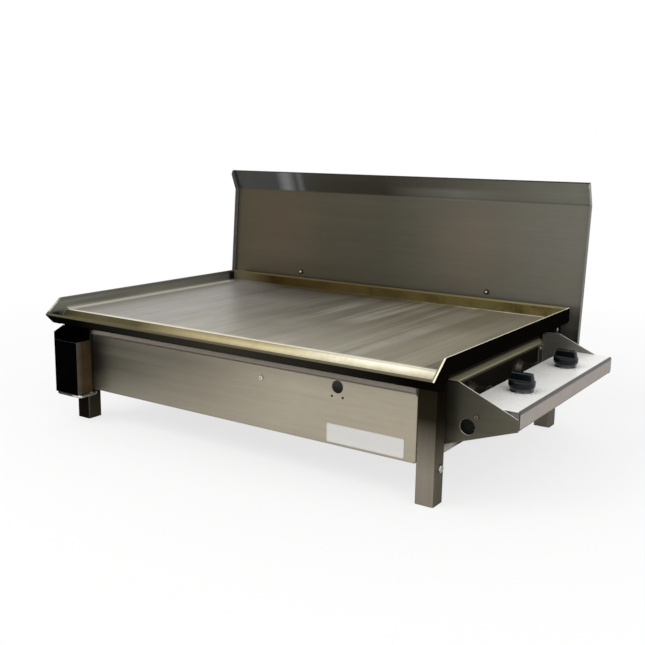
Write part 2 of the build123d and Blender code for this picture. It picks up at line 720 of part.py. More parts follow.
# Blind rivets that hold the end plates' feet
with BuildPart() as box_rivets:
    with BuildSketch(Plane.YZ.offset(SIDE_X + BOX_T)):
        with Locations(*BOX_RIVETS):
            Circle(RIVET_HEAD_R)
    extrude(amount=RIVET_HEAD)
    chamfer(box_rivets.faces().sort_by(Axis.X)[-4:].edges(), RIVET_HEAD * PAN_BEVEL)
    with BuildSketch(Plane.YZ.offset(SIDE_X + BOX_T)):
        with Locations(*BOX_RIVETS):
            Circle(RIVET_R)
    extrude(amount=-BOX_T - SHEET)
    with BuildSketch(Plane.YZ.offset(SIDE_X - SHEET)):
        with Locations(*BOX_RIVETS):
            Circle(RIVET_TAIL_R)
    extrude(amount=-RIVET_TAIL)
save(box_rivets.part, "box_rivets")

# White fascia: top with inner return, lip and bottom return
with BuildPart() as fascia:
    fascia_front = BOX_FRONT + BOX_T
    fascia_back = BOX_BACK - BOX_T
    with BuildSketch(Plane.XZ.offset(-fascia_front)):
        with BuildLine():
            FilletPolyline(
                (FASCIA_IN, FASCIA_Z - FASCIA_RETURN),
                (FASCIA_IN, FASCIA_Z),
                (BOX_OUT, FASCIA_Z),
                (BOX_OUT, FASCIA_LOW),
                (BOX_OUT - FASCIA_HEM, FASCIA_LOW),
                radius=SHEET_FOLD,
            )
            offset(amount=SHEET, side=Side.RIGHT)
        make_face()
    extrude(amount=fascia_front - fascia_back)
    with BuildSketch(Plane.YZ.offset(BOX_OUT)):
        with Locations(((BOX_FRONT + BOX_BACK) / 2, (FASCIA_Z + FASCIA_LOW) / 2)):
            Rectangle(BOX_BACK - BOX_FRONT, FASCIA_Z - FASCIA_LOW - 2 * SHEET_FOLD)
    extrude(amount=-SHEET)
    with BuildSketch(Plane.XY.offset(FASCIA_Z + CUT)):
        with Locations(*[(KNOB_X, y) for y in BURNER_Y]):
            Circle(NECK_R + GAP)
    extrude(amount=-SHEET - 2 * CUT, mode=Mode.SUBTRACT)
save(fascia.part, "fascia")

# Gas rail, a tube closed at the front end
with BuildPart() as gas_rail:
    with BuildSketch(Plane.XZ.offset(-RAIL_FRONT)):
        with Locations((RAIL_X, RAIL_Z)):
            Circle(RAIL_R)
    extrude(amount=RAIL_FRONT - RAIL_BACK)
    with BuildSketch(Plane.XZ.offset(-RAIL_BACK)):
        with Locations((RAIL_X, RAIL_Z)):
            Circle(RAIL_R - RAIL_WALL)
    extrude(amount=RAIL_BACK - RAIL_FRONT - 2 * RAIL_WALL, mode=Mode.SUBTRACT)
    with BuildSketch(Plane.YZ.offset(RAIL_X)):
        with Locations(*[(y, RAIL_Z) for y in BURNER_Y]):
            Circle(NIPPLE_R + FIT)
    extrude(amount=RAIL_R + CUT, mode=Mode.SUBTRACT)
save(gas_rail.part, "gas_rail")

# Inlet fitting: spigot, hexagon, shank through the end plate, male thread and flare cone
with BuildPart() as gas_inlet:
    axis_spot = (RAIL_X, RAIL_Z)
    with BuildSketch(Plane.XZ.offset(-RAIL_BACK)):
        with Locations(axis_spot):
            Circle(RAIL_R - RAIL_WALL - FIT)
    extrude(amount=SPIGOT_L)
    with BuildSketch(Plane.XZ.offset(-RAIL_BACK)):
        with Locations(axis_spot):
            RegularPolygon(RAIL_R, 6, major_radius=False)
    extrude(amount=-HEX_L)
    with BuildSketch(Plane.XZ.offset(-RAIL_BACK - HEX_L)):
        with Locations(axis_spot):
            Circle(SHANK_R)
    extrude(amount=-SHANK_L)
    with BuildSketch(Plane.XZ.offset(-RAIL_BACK - HEX_L - SHANK_L)):
        with Locations(axis_spot):
            Circle(THREAD_R)
    extrude(amount=-THREAD_L)
    chamfer(gas_inlet.faces().sort_by(Axis.Y)[-1].edges(), THREAD_END)
    with BuildSketch(Plane.XZ.offset(-RAIL_BACK - HEX_L - SHANK_L - THREAD_L - CUT)):
        with Locations(axis_spot):
            Circle(INLET_BORE)
    extrude(amount=SPIGOT_L + HEX_L + SHANK_L + THREAD_L + 2 * CUT, mode=Mode.SUBTRACT)
save(gas_inlet.part, "gas_inlet")

# Angle brackets between the end plates and the rail
for face, inward, label in ((BOX_FRONT, 1, "rail_bracket_front"), (BOX_BACK, -1, "rail_bracket_rear")):
    with BuildPart() as rail_bracket:
        inner = face + inward * BOX_T
        with BuildSketch(Plane.XZ.offset(-inner)):
            with Locations((CLIP_X, RAIL_Z + RAIL_R + FIT)):
                Rectangle(BRACKET_W, BRACKET_W, align=(Align.CENTER, Align.MIN))
            with Locations((CLIP_X, CLIP_Z)):
                Circle(M4_R + FIT, mode=Mode.SUBTRACT)
        extrude(amount=-inward * BOX_T)
        with BuildSketch(Plane.XY.offset(RAIL_Z + RAIL_R + FIT)):
            arm_in = RAIL_X - BRACKET_OVER
            arm_out = CLIP_X + BRACKET_W / 2
            with Locations(((arm_in + arm_out) / 2, inner + inward * BRACKET_L / 2)):
                Rectangle(arm_out - arm_in, BRACKET_L)
        extrude(amount=BOX_T)
    save(rail_bracket.part, label)

# Screws through the end plates into those brackets
with BuildPart() as bracket_screws:
    for face, inward in ((BOX_FRONT, 1), (BOX_BACK, -1)):
        with BuildSketch(Plane.XZ.offset(-face)):
            with Locations((CLIP_X, CLIP_Z)):
                Circle(M4_HEAD_R)
        extrude(amount=inward * M4_HEAD, taper=COUNTERSINK)
        with BuildSketch(Plane.XZ.offset(-face)):
            with Locations((CLIP_X, CLIP_Z)):
                Circle(M4_R)
        extrude(amount=-inward * M4_L)
save(bracket_screws.part, "bracket_screws")

# Valve bodies with inlet nipple, outlet, bonnet and neck
for y, end in zip(BURNER_Y, ("front", "rear")):
    with BuildPart() as valve:
        with BuildSketch(Plane.XY.offset(VALVE_LOW)):
            with Locations((KNOB_X, y)):
                RectangleRounded(VALVE_W, VALVE_D, VALVE_CORNER)
        extrude(amount=VALVE_TOP - VALVE_LOW)
        with BuildSketch(Plane.XY.offset(VALVE_TOP)):
            with Locations((KNOB_X, y)):
                Circle(BONNET_R)
        extrude(amount=BONNET_UP)
        with BuildSketch(Plane.XY.offset(VALVE_TOP + BONNET_UP)):
            with Locations((KNOB_X, y)):
                Circle(NECK_R)
        extrude(amount=NECK_TOP - VALVE_TOP - BONNET_UP)
        with BuildSketch(Plane.YZ.offset(KNOB_X)):
            with Locations((y, RAIL_Z)):
                Circle(INLET_R)
        extrude(amount=RAIL_X + RAIL_R + GAP - KNOB_X)
        with BuildSketch(Plane.YZ.offset(RAIL_X + RAIL_R + GAP)):
            with Locations((y, RAIL_Z)):
                Circle(NIPPLE_R)
        extrude(amount=-NIPPLE_L)
        with BuildSketch(Plane.YZ.offset(KNOB_X)):
            with Locations((y, BURNER_Z)):
                Circle(OUTLET_R)
        extrude(amount=INJECTOR_X - KNOB_X)
        with BuildSketch(Plane.XY.offset(SPINDLE_LOW - PUSH - CUT)):
            with Locations((KNOB_X, y)):
                Circle(SPINDLE_R + FIT)
        extrude(amount=NECK_TOP, mode=Mode.SUBTRACT)
    save(valve.part, f"valve_{end}")

    # Brass injector pointing into the burner's mouth
    with BuildPart() as injector:
        with BuildSketch(Plane.YZ.offset(INJECTOR_X)):
            with Locations((y, BURNER_Z)):
                RegularPolygon(OUTLET_R, 6, major_radius=False)
        extrude(amount=-INJECTOR_HEX)
        with BuildSketch(Plane.YZ.offset(INJECTOR_X - INJECTOR_HEX)):
            with Locations((y, BURNER_Z)):
                Circle(INJECTOR_R)
        extrude(amount=INJECTOR_NOSE_X + INJECTOR_HEX - INJECTOR_X)
        with BuildSketch(Plane.YZ.offset(INJECTOR_NOSE_X)):
            with Locations((y, BURNER_Z)):
                Circle(INJECTOR_R)
        extrude(amount=-INJECTOR_TIP, taper=INJECTOR_TAPER)
        with BuildSketch(Plane.YZ.offset(INJECTOR_NOSE_X - INJECTOR_TIP - CUT)):
            with Locations((y, BURNER_Z)):
                Circle(INJECTOR_BORE)
        extrude(amount=INJECTOR_TIP + 3 * CUT, mode=Mode.SUBTRACT)
    save(injector.part, f"injector_{end}")

    # Spindle with a flat at the top
    with BuildPart() as spindle:
        with BuildSketch(Plane.XY.offset(SPINDLE_LOW)):
            with Locations((KNOB_X, y)):
                Circle(SPINDLE_R)
        extrude(amount=KNOB_ROOF - SPINDLE_LOW)
        with BuildSketch(Plane.XY.offset(WASHER_Z + WASHER_T)):
            with Locations((KNOB_X + SPINDLE_FLAT, y)):
                Rectangle(SPINDLE_R, 3 * SPINDLE_R, align=(Align.MIN, Align.CENTER))
        extrude(amount=KNOB_ROOF, mode=Mode.SUBTRACT)
    save(spindle.part, f"spindle_{end}")

    # Thrust washer between the spring and the knob
    with BuildPart() as washer:
        with BuildSketch(Plane.XY.offset(WASHER_Z)):
            with Locations((KNOB_X, y)):
                Circle(WASHER_R)
                Circle(SPINDLE_R + FIT, mode=Mode.SUBTRACT)
        extrude(amount=WASHER_T)
    save(washer.part, f"thrust_washer_{end}")

    # Return spring on the valve's neck
    with BuildPart() as spring:
        with BuildLine():
            rise = WASHER_Z - NECK_TOP - 2 * SPRING_WIRE - 2 * TOUCH
            coil = Helix(
                pitch=rise / SPRING_TURNS,
                height=rise,
                radius=SPRING_R,
                center=(KNOB_X, y, NECK_TOP + SPRING_WIRE + TOUCH),
            )
        with BuildSketch(Plane(coil @ 0, z_dir=coil % 0)):
            RegularPolygon(SPRING_WIRE, 6)
        sweep(is_frenet=True)
    save(spring.part, f"spring_{end}")

    # Fixed bezel around the valve's neck
    with BuildPart() as bezel:
        with BuildSketch(Plane.XY.offset(FASCIA_Z)):
            with Locations((KNOB_X, y)):
                Circle(BEZEL_R + BEZEL_BRIM)
                Circle(BEZEL_IN, mode=Mode.SUBTRACT)
        extrude(amount=BEZEL_BRIM_T)
        with BuildSketch(Plane.XY.offset(FASCIA_Z)):
            with Locations((KNOB_X, y)):
                Circle(BEZEL_R)
                Circle(BEZEL_IN, mode=Mode.SUBTRACT)
        extrude(amount=BEZEL_TOP - FASCIA_Z)
    save(bezel.part, f"bezel_{end}")

    # Hollow knob: a drum with a tapered grip across it and a keyed boss
    with BuildPart() as knob:
        with BuildSketch(Plane((KNOB_X, y, 0), x_dir=(1, 0, 0), z_dir=(0, -1, 0))):
            with BuildLine():
                Polyline(
                    (0, KNOB_HOLLOW_TOP),
                    (KNOB_FOOT_R - KNOB_WALL, KNOB_HOLLOW_TOP),
                    (KNOB_FOOT_R - KNOB_WALL, KNOB_LOW),
                    (KNOB_FOOT_R, KNOB_LOW),
                    (KNOB_R, KNOB_LOW + KNOB_FLARE),
                    (KNOB_R, KNOB_SHOULDER - KNOB_EDGE),
                    (KNOB_R - KNOB_EDGE, KNOB_SHOULDER),
                    (0, KNOB_SHOULDER),
                    close=True,
                )
            make_face()
        revolve(axis=Axis((KNOB_X, y, 0), (0, 0, 1)))
        with BuildSketch(Plane.XY.offset(KNOB_SHOULDER)):
            with Locations((KNOB_X, y)):
                Circle(GRIP_R)
                Rectangle(2 * GRIP_R, GRIP_W, mode=Mode.INTERSECT)
        extrude(amount=GRIP_UP, taper=GRIP_TAPER)
        chamfer(knob.faces().sort_by(Axis.Z)[-1].edges(), GRIP_BEVEL)
        with BuildSketch(Plane.XY.offset(WASHER_Z + WASHER_T)):
            with Locations((KNOB_X, y)):
                Circle(KNOB_BOSS_R)
        extrude(amount=KNOB_HOLLOW_TOP - WASHER_Z - WASHER_T + KNOB_SKIN / 2)
        with BuildSketch(Plane.XY.offset(WASHER_Z + WASHER_T)):
            with Locations((KNOB_X, y)):
                Circle(SPINDLE_R + TOUCH)
            with Locations((KNOB_X + SPINDLE_FLAT + TOUCH, y)):
                Rectangle(SPINDLE_R, 3 * SPINDLE_R, align=(Align.MIN, Align.CENTER), mode=Mode.SUBTRACT)
        extrude(amount=KNOB_ROOF - WASHER_Z - WASHER_T, mode=Mode.SUBTRACT)
    save(knob.part, f"knob_{end}")

# Splashback: leaning sheet, band tipped forward at the top, rims folded forward down both sides
with BuildPart() as splashback:
    half = SPLASH_W / 2
    corners = (
        (SKIN_Y, SPLASH_LOW),
        (SKIN_Y, SPLASH_BEND),
        (SPLASH_FOLD_Y, SPLASH_FOLD_Z),
        (SPLASH_TOP_Y, SPLASH_TOP_Z),
    )
    with BuildSketch(Plane.YZ.offset(-half)):
        with BuildLine():
            FilletPolyline(*corners, radius=SPLASH_ROUND)
            offset(amount=SHEET, side=Side.RIGHT)
        make_face()
    extrude(amount=SPLASH_W)
    for side in (-1, 1):
        with BuildSketch(Plane.YZ.offset(side * half)):
            with BuildLine():
                FilletPolyline(*corners, radius=SPLASH_ROUND)
                offset(amount=SPLASH_RIM, side=Side.LEFT)
            make_face()
        extrude(amount=-side * SHEET)
    # Clipped top corners of the rims
    with BuildSketch(Plane.YZ.offset(-half)):
        Polygon(
            (SPLASH_TOP_Y - SPLASH_CLIP_IN, SPLASH_TOP_Z + CUT),
            (SPLASH_TOP_Y - SPLASH_RIM, SPLASH_TOP_Z - SPLASH_CLIP),
            (SPLASH_TOP_Y - 3 * SPLASH_RIM, SPLASH_TOP_Z - SPLASH_CLIP),
            (SPLASH_TOP_Y - 3 * SPLASH_RIM, SPLASH_TOP_Z + CUT),
            align=None,
        )
    extrude(amount=SPLASH_W, mode=Mode.SUBTRACT)
    # Holes of the two strap screws
    with BuildSketch(SPLASH_FACE):
        with Locations((-STRAP_X, 0), (STRAP_X, 0)):
            Circle(M5_R + SLIP)
    extrude(amount=SHEET, both=True, mode=Mode.SUBTRACT)
save(splashback.part, "splashback")

# Straps that stand behind the splashback on the rear panel
for sx, label in ((-1, "strap_left"), (1, "strap_right")):
    with BuildPart() as strap:
        back = SKIN_Y + SHEET + TOUCH
        with BuildSketch(Plane.YZ.offset(sx * STRAP_X - STRAP_W / 2)):
            with BuildLine():
                Polyline(
                    (SKIN_Y, STRAP_LOW),
                    (SKIN_Y, JOGGLE_LOW),
                    (back, JOGGLE_HIGH),
                    (back, SPLASH_BEND),
                    (back + (STRAP_HIGH - SPLASH_BEND) * sin(LEAN) / cos(LEAN), STRAP_HIGH),
                )
                offset(amount=STRAP_T, side=Side.RIGHT)
            make_face()
        extrude(amount=STRAP_W)
        with BuildSketch(SPLASH_FACE.offset(-SHEET - STRAP_T - CUT)):
            with Locations((sx * STRAP_X, 0)):
                Circle(M5_R + SLIP)
        extrude(amount=STRAP_T + 2 * CUT, mode=Mode.SUBTRACT)
        with BuildSketch(Plane.XZ.offset(-SKIN_Y + CUT)):
            with Locations(*[(sx * STRAP_X, z) for z in STRAP_RIVETS]):
                Circle(RIVET_R + FIT)
        extrude(amount=-STRAP_T - 2 * CUT, mode=Mode.SUBTRACT)
    save(strap.part, label)

# Screws through splashback and straps
with BuildPart() as splash_screws:
    with BuildSketch(SPLASH_FACE):
        with Locations((-STRAP_X, 0), (STRAP_X, 0)):
            Circle(M5_HEAD_R)
    extrude(amount=M5_HEAD)
    chamfer(splash_screws.faces().sort_by(Axis.Y)[:2].edges(), M5_HEAD * PAN_BEVEL)
    with BuildSketch(SPLASH_FACE):
        with Locations((-STRAP_X, 0), (STRAP_X, 0)):
            Circle(M5_R)
    extrude(amount=-(SHEET + STRAP_T + M5_NUT + BOLT_PROUD))
save(splash_screws.part, "splash_screws")

# Nuts of those screws
with BuildPart() as splash_nuts:
    with BuildSketch(SPLASH_FACE.offset(-SHEET - STRAP_T - 2 * TOUCH)):
        with Locations((-STRAP_X, 0), (STRAP_X, 0)):
            RegularPolygon(M5_FLAT, 6, major_radius=False)
            Circle(M5_R + TOUCH, mode=Mode.SUBTRACT)
    extrude(amount=-M5_NUT)
save(splash_nuts.part, "splash_nuts")

# Blind rivets at the feet of the straps
with BuildPart() as strap_rivets:
    spots = [(sx * STRAP_X, z) for sx in (-1, 1) for z in STRAP_RIVETS]
    with BuildSketch(Plane.XZ.offset(-SKIN_Y - STRAP_T)):
        with Locations(*spots):
            Circle(RIVET_HEAD_R)
    extrude(amount=-RIVET_HEAD)
    chamfer(strap_rivets.faces().sort_by(Axis.Y)[-4:].edges(), RIVET_HEAD * PAN_BEVEL)
    with BuildSketch(Plane.XZ.offset(-SKIN_Y - STRAP_T)):
        with Locations(*spots):
            Circle(RIVET_R)
    extrude(amount=STRAP_T + SHEET)
    with BuildSketch(Plane.XZ.offset(-SKIN_Y + SHEET)):
        with Locations(*spots):
            Circle(RIVET_TAIL_R)
    extrude(amount=RIVET_TAIL)
save(strap_rivets.part, "strap_rivets")

# Bent wire cradle welded to both sides of the front left leg
with BuildPart() as can_cradle:
    wire_z = CAN_LOW - WIRE_R - FIT
    with BuildLine():
        wire = FilletPolyline(
            (-FOOT_W / 2, WIRE_END_Y, wire_z),
            (WIRE_LEFT, WIRE_END_Y, wire_z),
            (WIRE_LEFT, WIRE_FRONT, wire_z),
            (WIRE_RIGHT, WIRE_FRONT, wire_z),
            (WIRE_RIGHT, WIRE_END_Y, wire_z),
            (-FOOT_W / 2 + LEG, WIRE_END_Y, wire_z),
            radius=2 * WIRE_R,
        )
    with BuildSketch(Plane(wire @ 0, z_dir=wire % 0)):
        Circle(WIRE_R)
    sweep()
save(can_cradle.part, "can_cradle")

# Grease can, low at the front and right, high at the left and back
with BuildPart() as grease_can:
    can_left = CAN_X - CAN_W / 2
    can_y = (CAN_FRONT + CAN_BACK) / 2
    with BuildSketch(Plane.XY.offset(CAN_LOW)):
        with Locations((CAN_X, can_y)):
            RectangleRounded(CAN_W, CAN_D, CAN_CORNER)
    extrude(amount=CAN_PEAK - CAN_LOW)
    with BuildSketch(Plane.XY.offset(CAN_LOW + CAN_T)):
        with Locations((CAN_X, can_y)):
            RectangleRounded(CAN_W - 2 * CAN_T, CAN_D - 2 * CAN_T, CAN_CORNER - CAN_T)
    extrude(amount=CAN_PEAK - CAN_LOW, mode=Mode.SUBTRACT)
    # Front and right walls cut down to the rim
    with BuildSketch(Plane.XY.offset(CAN_RIM)):
        with Locations((can_left + CAN_CORNER, CAN_FRONT - CUT)):
            Rectangle(CAN_W, CAN_D + CUT - CAN_CORNER, align=(Align.MIN, Align.MIN))
    extrude(amount=CAN_PEAK - CAN_RIM, mode=Mode.SUBTRACT)
    # Left wall sloping down to the front
    with BuildSketch(Plane.YZ.offset(can_left - CUT)):
        Polygon(
            (CAN_FRONT - CUT, CAN_SIDE),
            (CAN_FRONT, CAN_SIDE),
            (CAN_FRONT + CAN_SLOPE, CAN_PEAK),
            (CAN_FRONT - CUT, CAN_PEAK + CUT),
            align=None,
        )
    extrude(amount=CAN_CORNER + 2 * CUT, mode=Mode.SUBTRACT)
save(grease_can.part, "grease_can")
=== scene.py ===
"""Looks of a built-in flat plate barbecue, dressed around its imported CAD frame."""

import logging
import math
from collections.abc import Callable, Iterator
from contextlib import contextmanager
from dataclasses import dataclass
from enum import Enum
from functools import cache, reduce

import bmesh
import bpy
from mathutils import Matrix, Vector


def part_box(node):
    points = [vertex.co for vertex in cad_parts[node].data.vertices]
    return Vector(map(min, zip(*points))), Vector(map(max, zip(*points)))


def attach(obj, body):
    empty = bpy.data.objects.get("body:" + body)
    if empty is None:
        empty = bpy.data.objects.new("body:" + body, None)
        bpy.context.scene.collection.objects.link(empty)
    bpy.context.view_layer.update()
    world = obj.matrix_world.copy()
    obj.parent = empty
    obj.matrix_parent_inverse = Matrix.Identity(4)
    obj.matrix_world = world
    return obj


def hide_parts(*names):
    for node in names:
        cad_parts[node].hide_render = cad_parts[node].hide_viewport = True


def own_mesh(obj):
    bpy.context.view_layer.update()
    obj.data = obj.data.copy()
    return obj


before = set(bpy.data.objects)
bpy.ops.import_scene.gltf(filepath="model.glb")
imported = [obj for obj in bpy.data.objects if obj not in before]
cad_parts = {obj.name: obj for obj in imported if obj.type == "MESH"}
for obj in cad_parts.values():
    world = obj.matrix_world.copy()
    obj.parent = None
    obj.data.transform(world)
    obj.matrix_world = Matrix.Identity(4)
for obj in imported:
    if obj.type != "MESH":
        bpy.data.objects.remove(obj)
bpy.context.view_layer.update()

LOG = logging.getLogger("barbecue")
MM = 0.001
WHITE = (1.0, 1.0, 1.0, 1.0)
UP = (0.0, 0.0, 1.0)
DOWN = (0.0, 0.0, -1.0)
LEFT = (-1.0, 0.0, 0.0)
RIGHT = (1.0, 0.0, 0.0)
FRONT = (0.0, -1.0, 0.0)
REAR = (0.0, 1.0, 0.0)

Colour = tuple[int, int, int]
Triple = tuple[float, float, float]
Socket = bpy.types.NodeSocket
Node = bpy.types.Node
NodeTree = bpy.types.NodeTree
Piece = bpy.types.Object


def linear(colour: Colour) -> tuple[float, float, float, float]:
    """Turns a display colour into the linear one that sockets take, by the sRGB curve.

    Args:
        colour: Red, green and blue from 0 to 255.

    Returns:
        Linear red, green, blue and an alpha of 1.
    """
    parts = [c / 255 for c in colour]
    toned = [c / 12.92 if c <= 0.04045 else ((c + 0.055) / 1.055) ** 2.4 for c in parts]
    return (toned[0], toned[1], toned[2], 1.0)


class Tree:
    """A node tree with short calls for the nodes that the finishes use."""

    # Places of the colour sockets on a Mix node, whose names repeat
    MIX_FIRST, MIX_SECOND, MIX_RESULT = 6, 7, 2

    def __init__(self, tree: NodeTree) -> None:
        """Wraps a node tree and empties it."""
        self.tree = tree
        tree.nodes.clear()

    def add(self, kind: str, **settings: object) -> Node:
        """Adds a node and sets its own options.

        Args:
            kind: Blender's name of the node type.
            **settings: Attributes of the node.

        Returns:
            The new node.
        """
        made = self.tree.nodes.new(kind)
        for key, value in settings.items():
            setattr(made, key, value)
        return made

    def feed(self, socket: Socket, value: object) -> None:
        """Links a socket to another, or sets its value."""
        if isinstance(value, Socket):
            self.tree.links.new(value, socket)
        elif value is not None:
            socket.default_value = value

    def math(self, operation: str, first: object, second: object) -> Socket:
        """Adds a Math node.

        Args:
            operation: Blender's name of the operation.
            first: Number or socket.
            second: Number or socket.

        Returns:
            The node's output.
        """
        made = self.add("ShaderNodeMath", operation=operation)
        self.feed(made.inputs[0], first)
        self.feed(made.inputs[1], second)
        return made.outputs[0]

    def product(self, *factors: object) -> Socket:
        """Multiplies two or more numbers or sockets, from the first to the last."""
        return reduce(lambda total, factor: self.math("MULTIPLY", total, factor), factors)

    def weigh(self, *parts: tuple[Socket, float]) -> Socket:
        """Adds up sockets, each times its own weight."""
        scaled = [self.product(*part) for part in parts]
        return reduce(lambda total, part: self.math("ADD", total, part), scaled)

    def vector(self, operation: str, first: object, second: object = None) -> Socket:
        """Adds a Vector Math node.

        Args:
            operation: Blender's name of the operation.
            first: Vector or socket.
            second: Vector or socket, where the operation takes two.

        Returns:
            The node's value for a dot product or a length, and its vector otherwise.
        """
        made = self.add("ShaderNodeVectorMath", operation=operation)
        self.feed(made.inputs[0], first)
        self.feed(made.inputs[1], second)
        return made.outputs["Value" if operation in ("DOT_PRODUCT", "LENGTH") else "Vector"]

    def noise(self, place: Socket, scale: object, detail: float = 3.0, rough: float = 0.55) -> Socket:
        """Adds a noise texture.

        Args:
            place: Coordinates that it reads.
            scale: Waves in each unit of the coordinates.
            detail: Octaves of finer noise.
            rough: Strength of each finer octave.

        Returns:
            A value from 0 to 1 around a half.
        """
        made = self.add("ShaderNodeTexNoise")
        for key, value in (("Vector", place), ("Scale", scale), ("Detail", detail), ("Roughness", rough)):
            self.feed(made.inputs[key], value)
        return made.outputs[0]

    def span(
        self, value: Socket, low: object, high: object, start: float = 0.0, end: float = 1.0
    ) -> Socket:
        """Maps a value from one range to another with soft ends.

        Args:
            value: Socket to map.
            low: Where the soft step starts.
            high: Where it ends.
            start: Result at and before low.
            end: Result at and after high.

        Returns:
            The mapped value.
        """
        made = self.add("ShaderNodeMapRange", interpolation_type="SMOOTHSTEP")
        for slot, number in zip(made.inputs, (value, low, high, start, end)):
            self.feed(slot, number)
        return made.outputs[0]

    def mix(self, share: object, first: object, second: object, blend: str = "MIX") -> Socket:
        """Mixes two colours.

        Args:
            share: How much of the second colour.
            first: Colour or socket.
            second: Colour or socket.
            blend: Blender's name of the way of mixing.

        Returns:
            The mixed colour.
        """
        made = self.add("ShaderNodeMix", data_type="RGBA", blend_type=blend)
        self.feed(made.inputs[0], share)
        self.feed(made.inputs[self.MIX_FIRST], first)
        self.feed(made.inputs[self.MIX_SECOND], second)
        return made.outputs[self.MIX_RESULT]

    def use(self, group: NodeTree, **values: object) -> Node:
        """Places a node group.

        Args:
            group: The group's tree.
            **values: Values or sockets for its inputs, by name.

        Returns:
            The group node.
        """
        made = self.add("ShaderNodeGroup", node_tree=group)
        for key, value in values.items():
            self.feed(made.inputs[key], value)
        return made


class Effects:
    """Shader node groups that several finishes share, each built once."""

    @staticmethod
    def start(name: str, inputs: dict[str, str], outputs: dict[str, str]) -> tuple[Tree, Node, Node]:
        """Makes an empty group with its sockets.

        Args:
            name: Name of the group.
            inputs: Input names with the kind of each, Float or Vector.
            outputs: Output names with the kind of each.

        Returns:
            The tree, and the nodes that hold its inputs and outputs.
        """
        group = bpy.data.node_groups.new(name, "ShaderNodeTree")
        for way, sockets in (("INPUT", inputs), ("OUTPUT", outputs)):
            for key, kind in sockets.items():
                group.interface.new_socket(key, in_out=way, socket_type=f"NodeSocket{kind}")
        tree = Tree(group)
        return tree, tree.add("NodeGroupInput"), tree.add("NodeGroupOutput")

    @classmethod
    @cache
    def drawn_grain(cls) -> NodeTree:
        """Lines that brushing or rolling leaves, long one way and fine across."""
        tree, given, result = cls.start(
            "Drawn grain", {"Vector": "Vector", "Stretch": "Vector"}, {"Tone": "Float", "Height": "Float"}
        )
        place = given.outputs["Vector"]
        long = tree.vector("MULTIPLY", place, given.outputs["Stretch"])
        fine = tree.noise(long, scale=1.0, detail=4.0, rough=0.6)
        broad = tree.noise(long, scale=0.16, detail=2.0, rough=0.5)
        cloud = tree.noise(place, scale=26.0)
        tree.feed(result.inputs["Tone"], tree.weigh((fine, 0.45), (broad, 0.35), (cloud, 0.20)))
        tree.feed(result.inputs["Height"], fine)
        return tree.tree

    @classmethod
    @cache
    def fine_mottle(cls) -> NodeTree:
        """Even speckle with soft clouds over it, as on cast, moulded and sprayed surfaces."""
        tree, given, result = cls.start(
            "Fine mottle", {"Vector": "Vector", "Scale": "Float"}, {"Tone": "Float", "Height": "Float"}
        )
        place, scale = given.outputs["Vector"], given.outputs["Scale"]
        speck = tree.noise(place, scale, rough=0.6)
        cloud = tree.noise(place, tree.product(scale, 0.07), rough=0.5)
        tree.feed(result.inputs["Tone"], tree.weigh((speck, 0.5), (cloud, 0.5)))
        tree.feed(result.inputs["Height"], speck)
        return tree.tree

    @classmethod
    @cache
    def oily_smears(cls) -> NodeTree:
        """Broad wiped streaks with broken ends."""
        tree, given, result = cls.start(
            "Oily smears", {"Vector": "Vector", "Stretch": "Vector"}, {"Mask": "Float"}
        )
        place = given.outputs["Vector"]
        long = tree.vector("MULTIPLY", place, given.outputs["Stretch"])
        streak = tree.span(tree.noise(long, scale=0.035), low=0.42, high=0.68)
        patch = tree.span(tree.noise(place, scale=5.0, detail=2.0, rough=0.5), low=0.3, high=0.62)
        tree.feed(result.inputs["Mask"], tree.product(streak, patch))
        return tree.tree

    @classmethod
    @cache
    def edge_wear_and_highlight(cls) -> NodeTree:
        """Bare bright edges that also serve as painted highlights, broken up by noise, and a normal that
        rounds the edge.
        """
        tree, given, result = cls.start(
            "Edge wear and highlight", {"Vector": "Vector", "Width": "Float"}, {"Mask": "Float", "Normal": "Vector"}
        )
        rounded = tree.add("ShaderNodeBevel", samples=4)
        tree.feed(rounded.inputs["Radius"], given.outputs["Width"])
        flat = tree.add("ShaderNodeNewGeometry")
        turn = tree.vector("DOT_PRODUCT", rounded.outputs[0], flat.outputs["Normal"])
        edge = tree.span(turn, low=0.985, high=0.86)
        specks = tree.noise(given.outputs["Vector"], scale=240.0)
        broken = tree.span(specks, low=0.28, high=0.55, start=0.35)
        tree.feed(result.inputs["Mask"], tree.product(edge, broken))
        tree.feed(result.inputs["Normal"], rounded.outputs[0])
        return tree.tree

    @classmethod
    @cache
    def painted_zone(cls) -> NodeTree:
        """A soft-edged box in the piece's own coordinates, on the faces that look one way."""
        vectors = dict.fromkeys(("Vector", "Normal", "Low", "High", "Soft", "Facing"), "Vector")
        numbers = dict.fromkeys(("Start", "Full", "Share"), "Float")
        tree, given, result = cls.start("Painted zone", vectors | numbers, {"Mask": "Float"})
        half, none, whole = ((number, number, number) for number in (0.5, 0.0, 1.0))
        gates = []
        for first, second in (("Vector", "Low"), ("High", "Vector")):
            past_end = tree.vector("SUBTRACT", given.outputs[first], given.outputs[second])
            eased = tree.vector("ADD", tree.vector("DIVIDE", past_end, given.outputs["Soft"]), half)
            gates.append(tree.vector("MINIMUM", tree.vector("MAXIMUM", eased, none), whole))
        inside = tree.add("ShaderNodeSeparateXYZ")
        tree.feed(inside.inputs[0], tree.vector("MULTIPLY", *gates))
        looks = tree.vector("DOT_PRODUCT", given.outputs["Normal"], given.outputs["Facing"])
        faces = tree.span(looks, given.outputs["Start"], given.outputs["Full"])
        tree.feed(result.inputs["Mask"], tree.product(*inside.outputs, faces, given.outputs["Share"]))
        return tree.tree


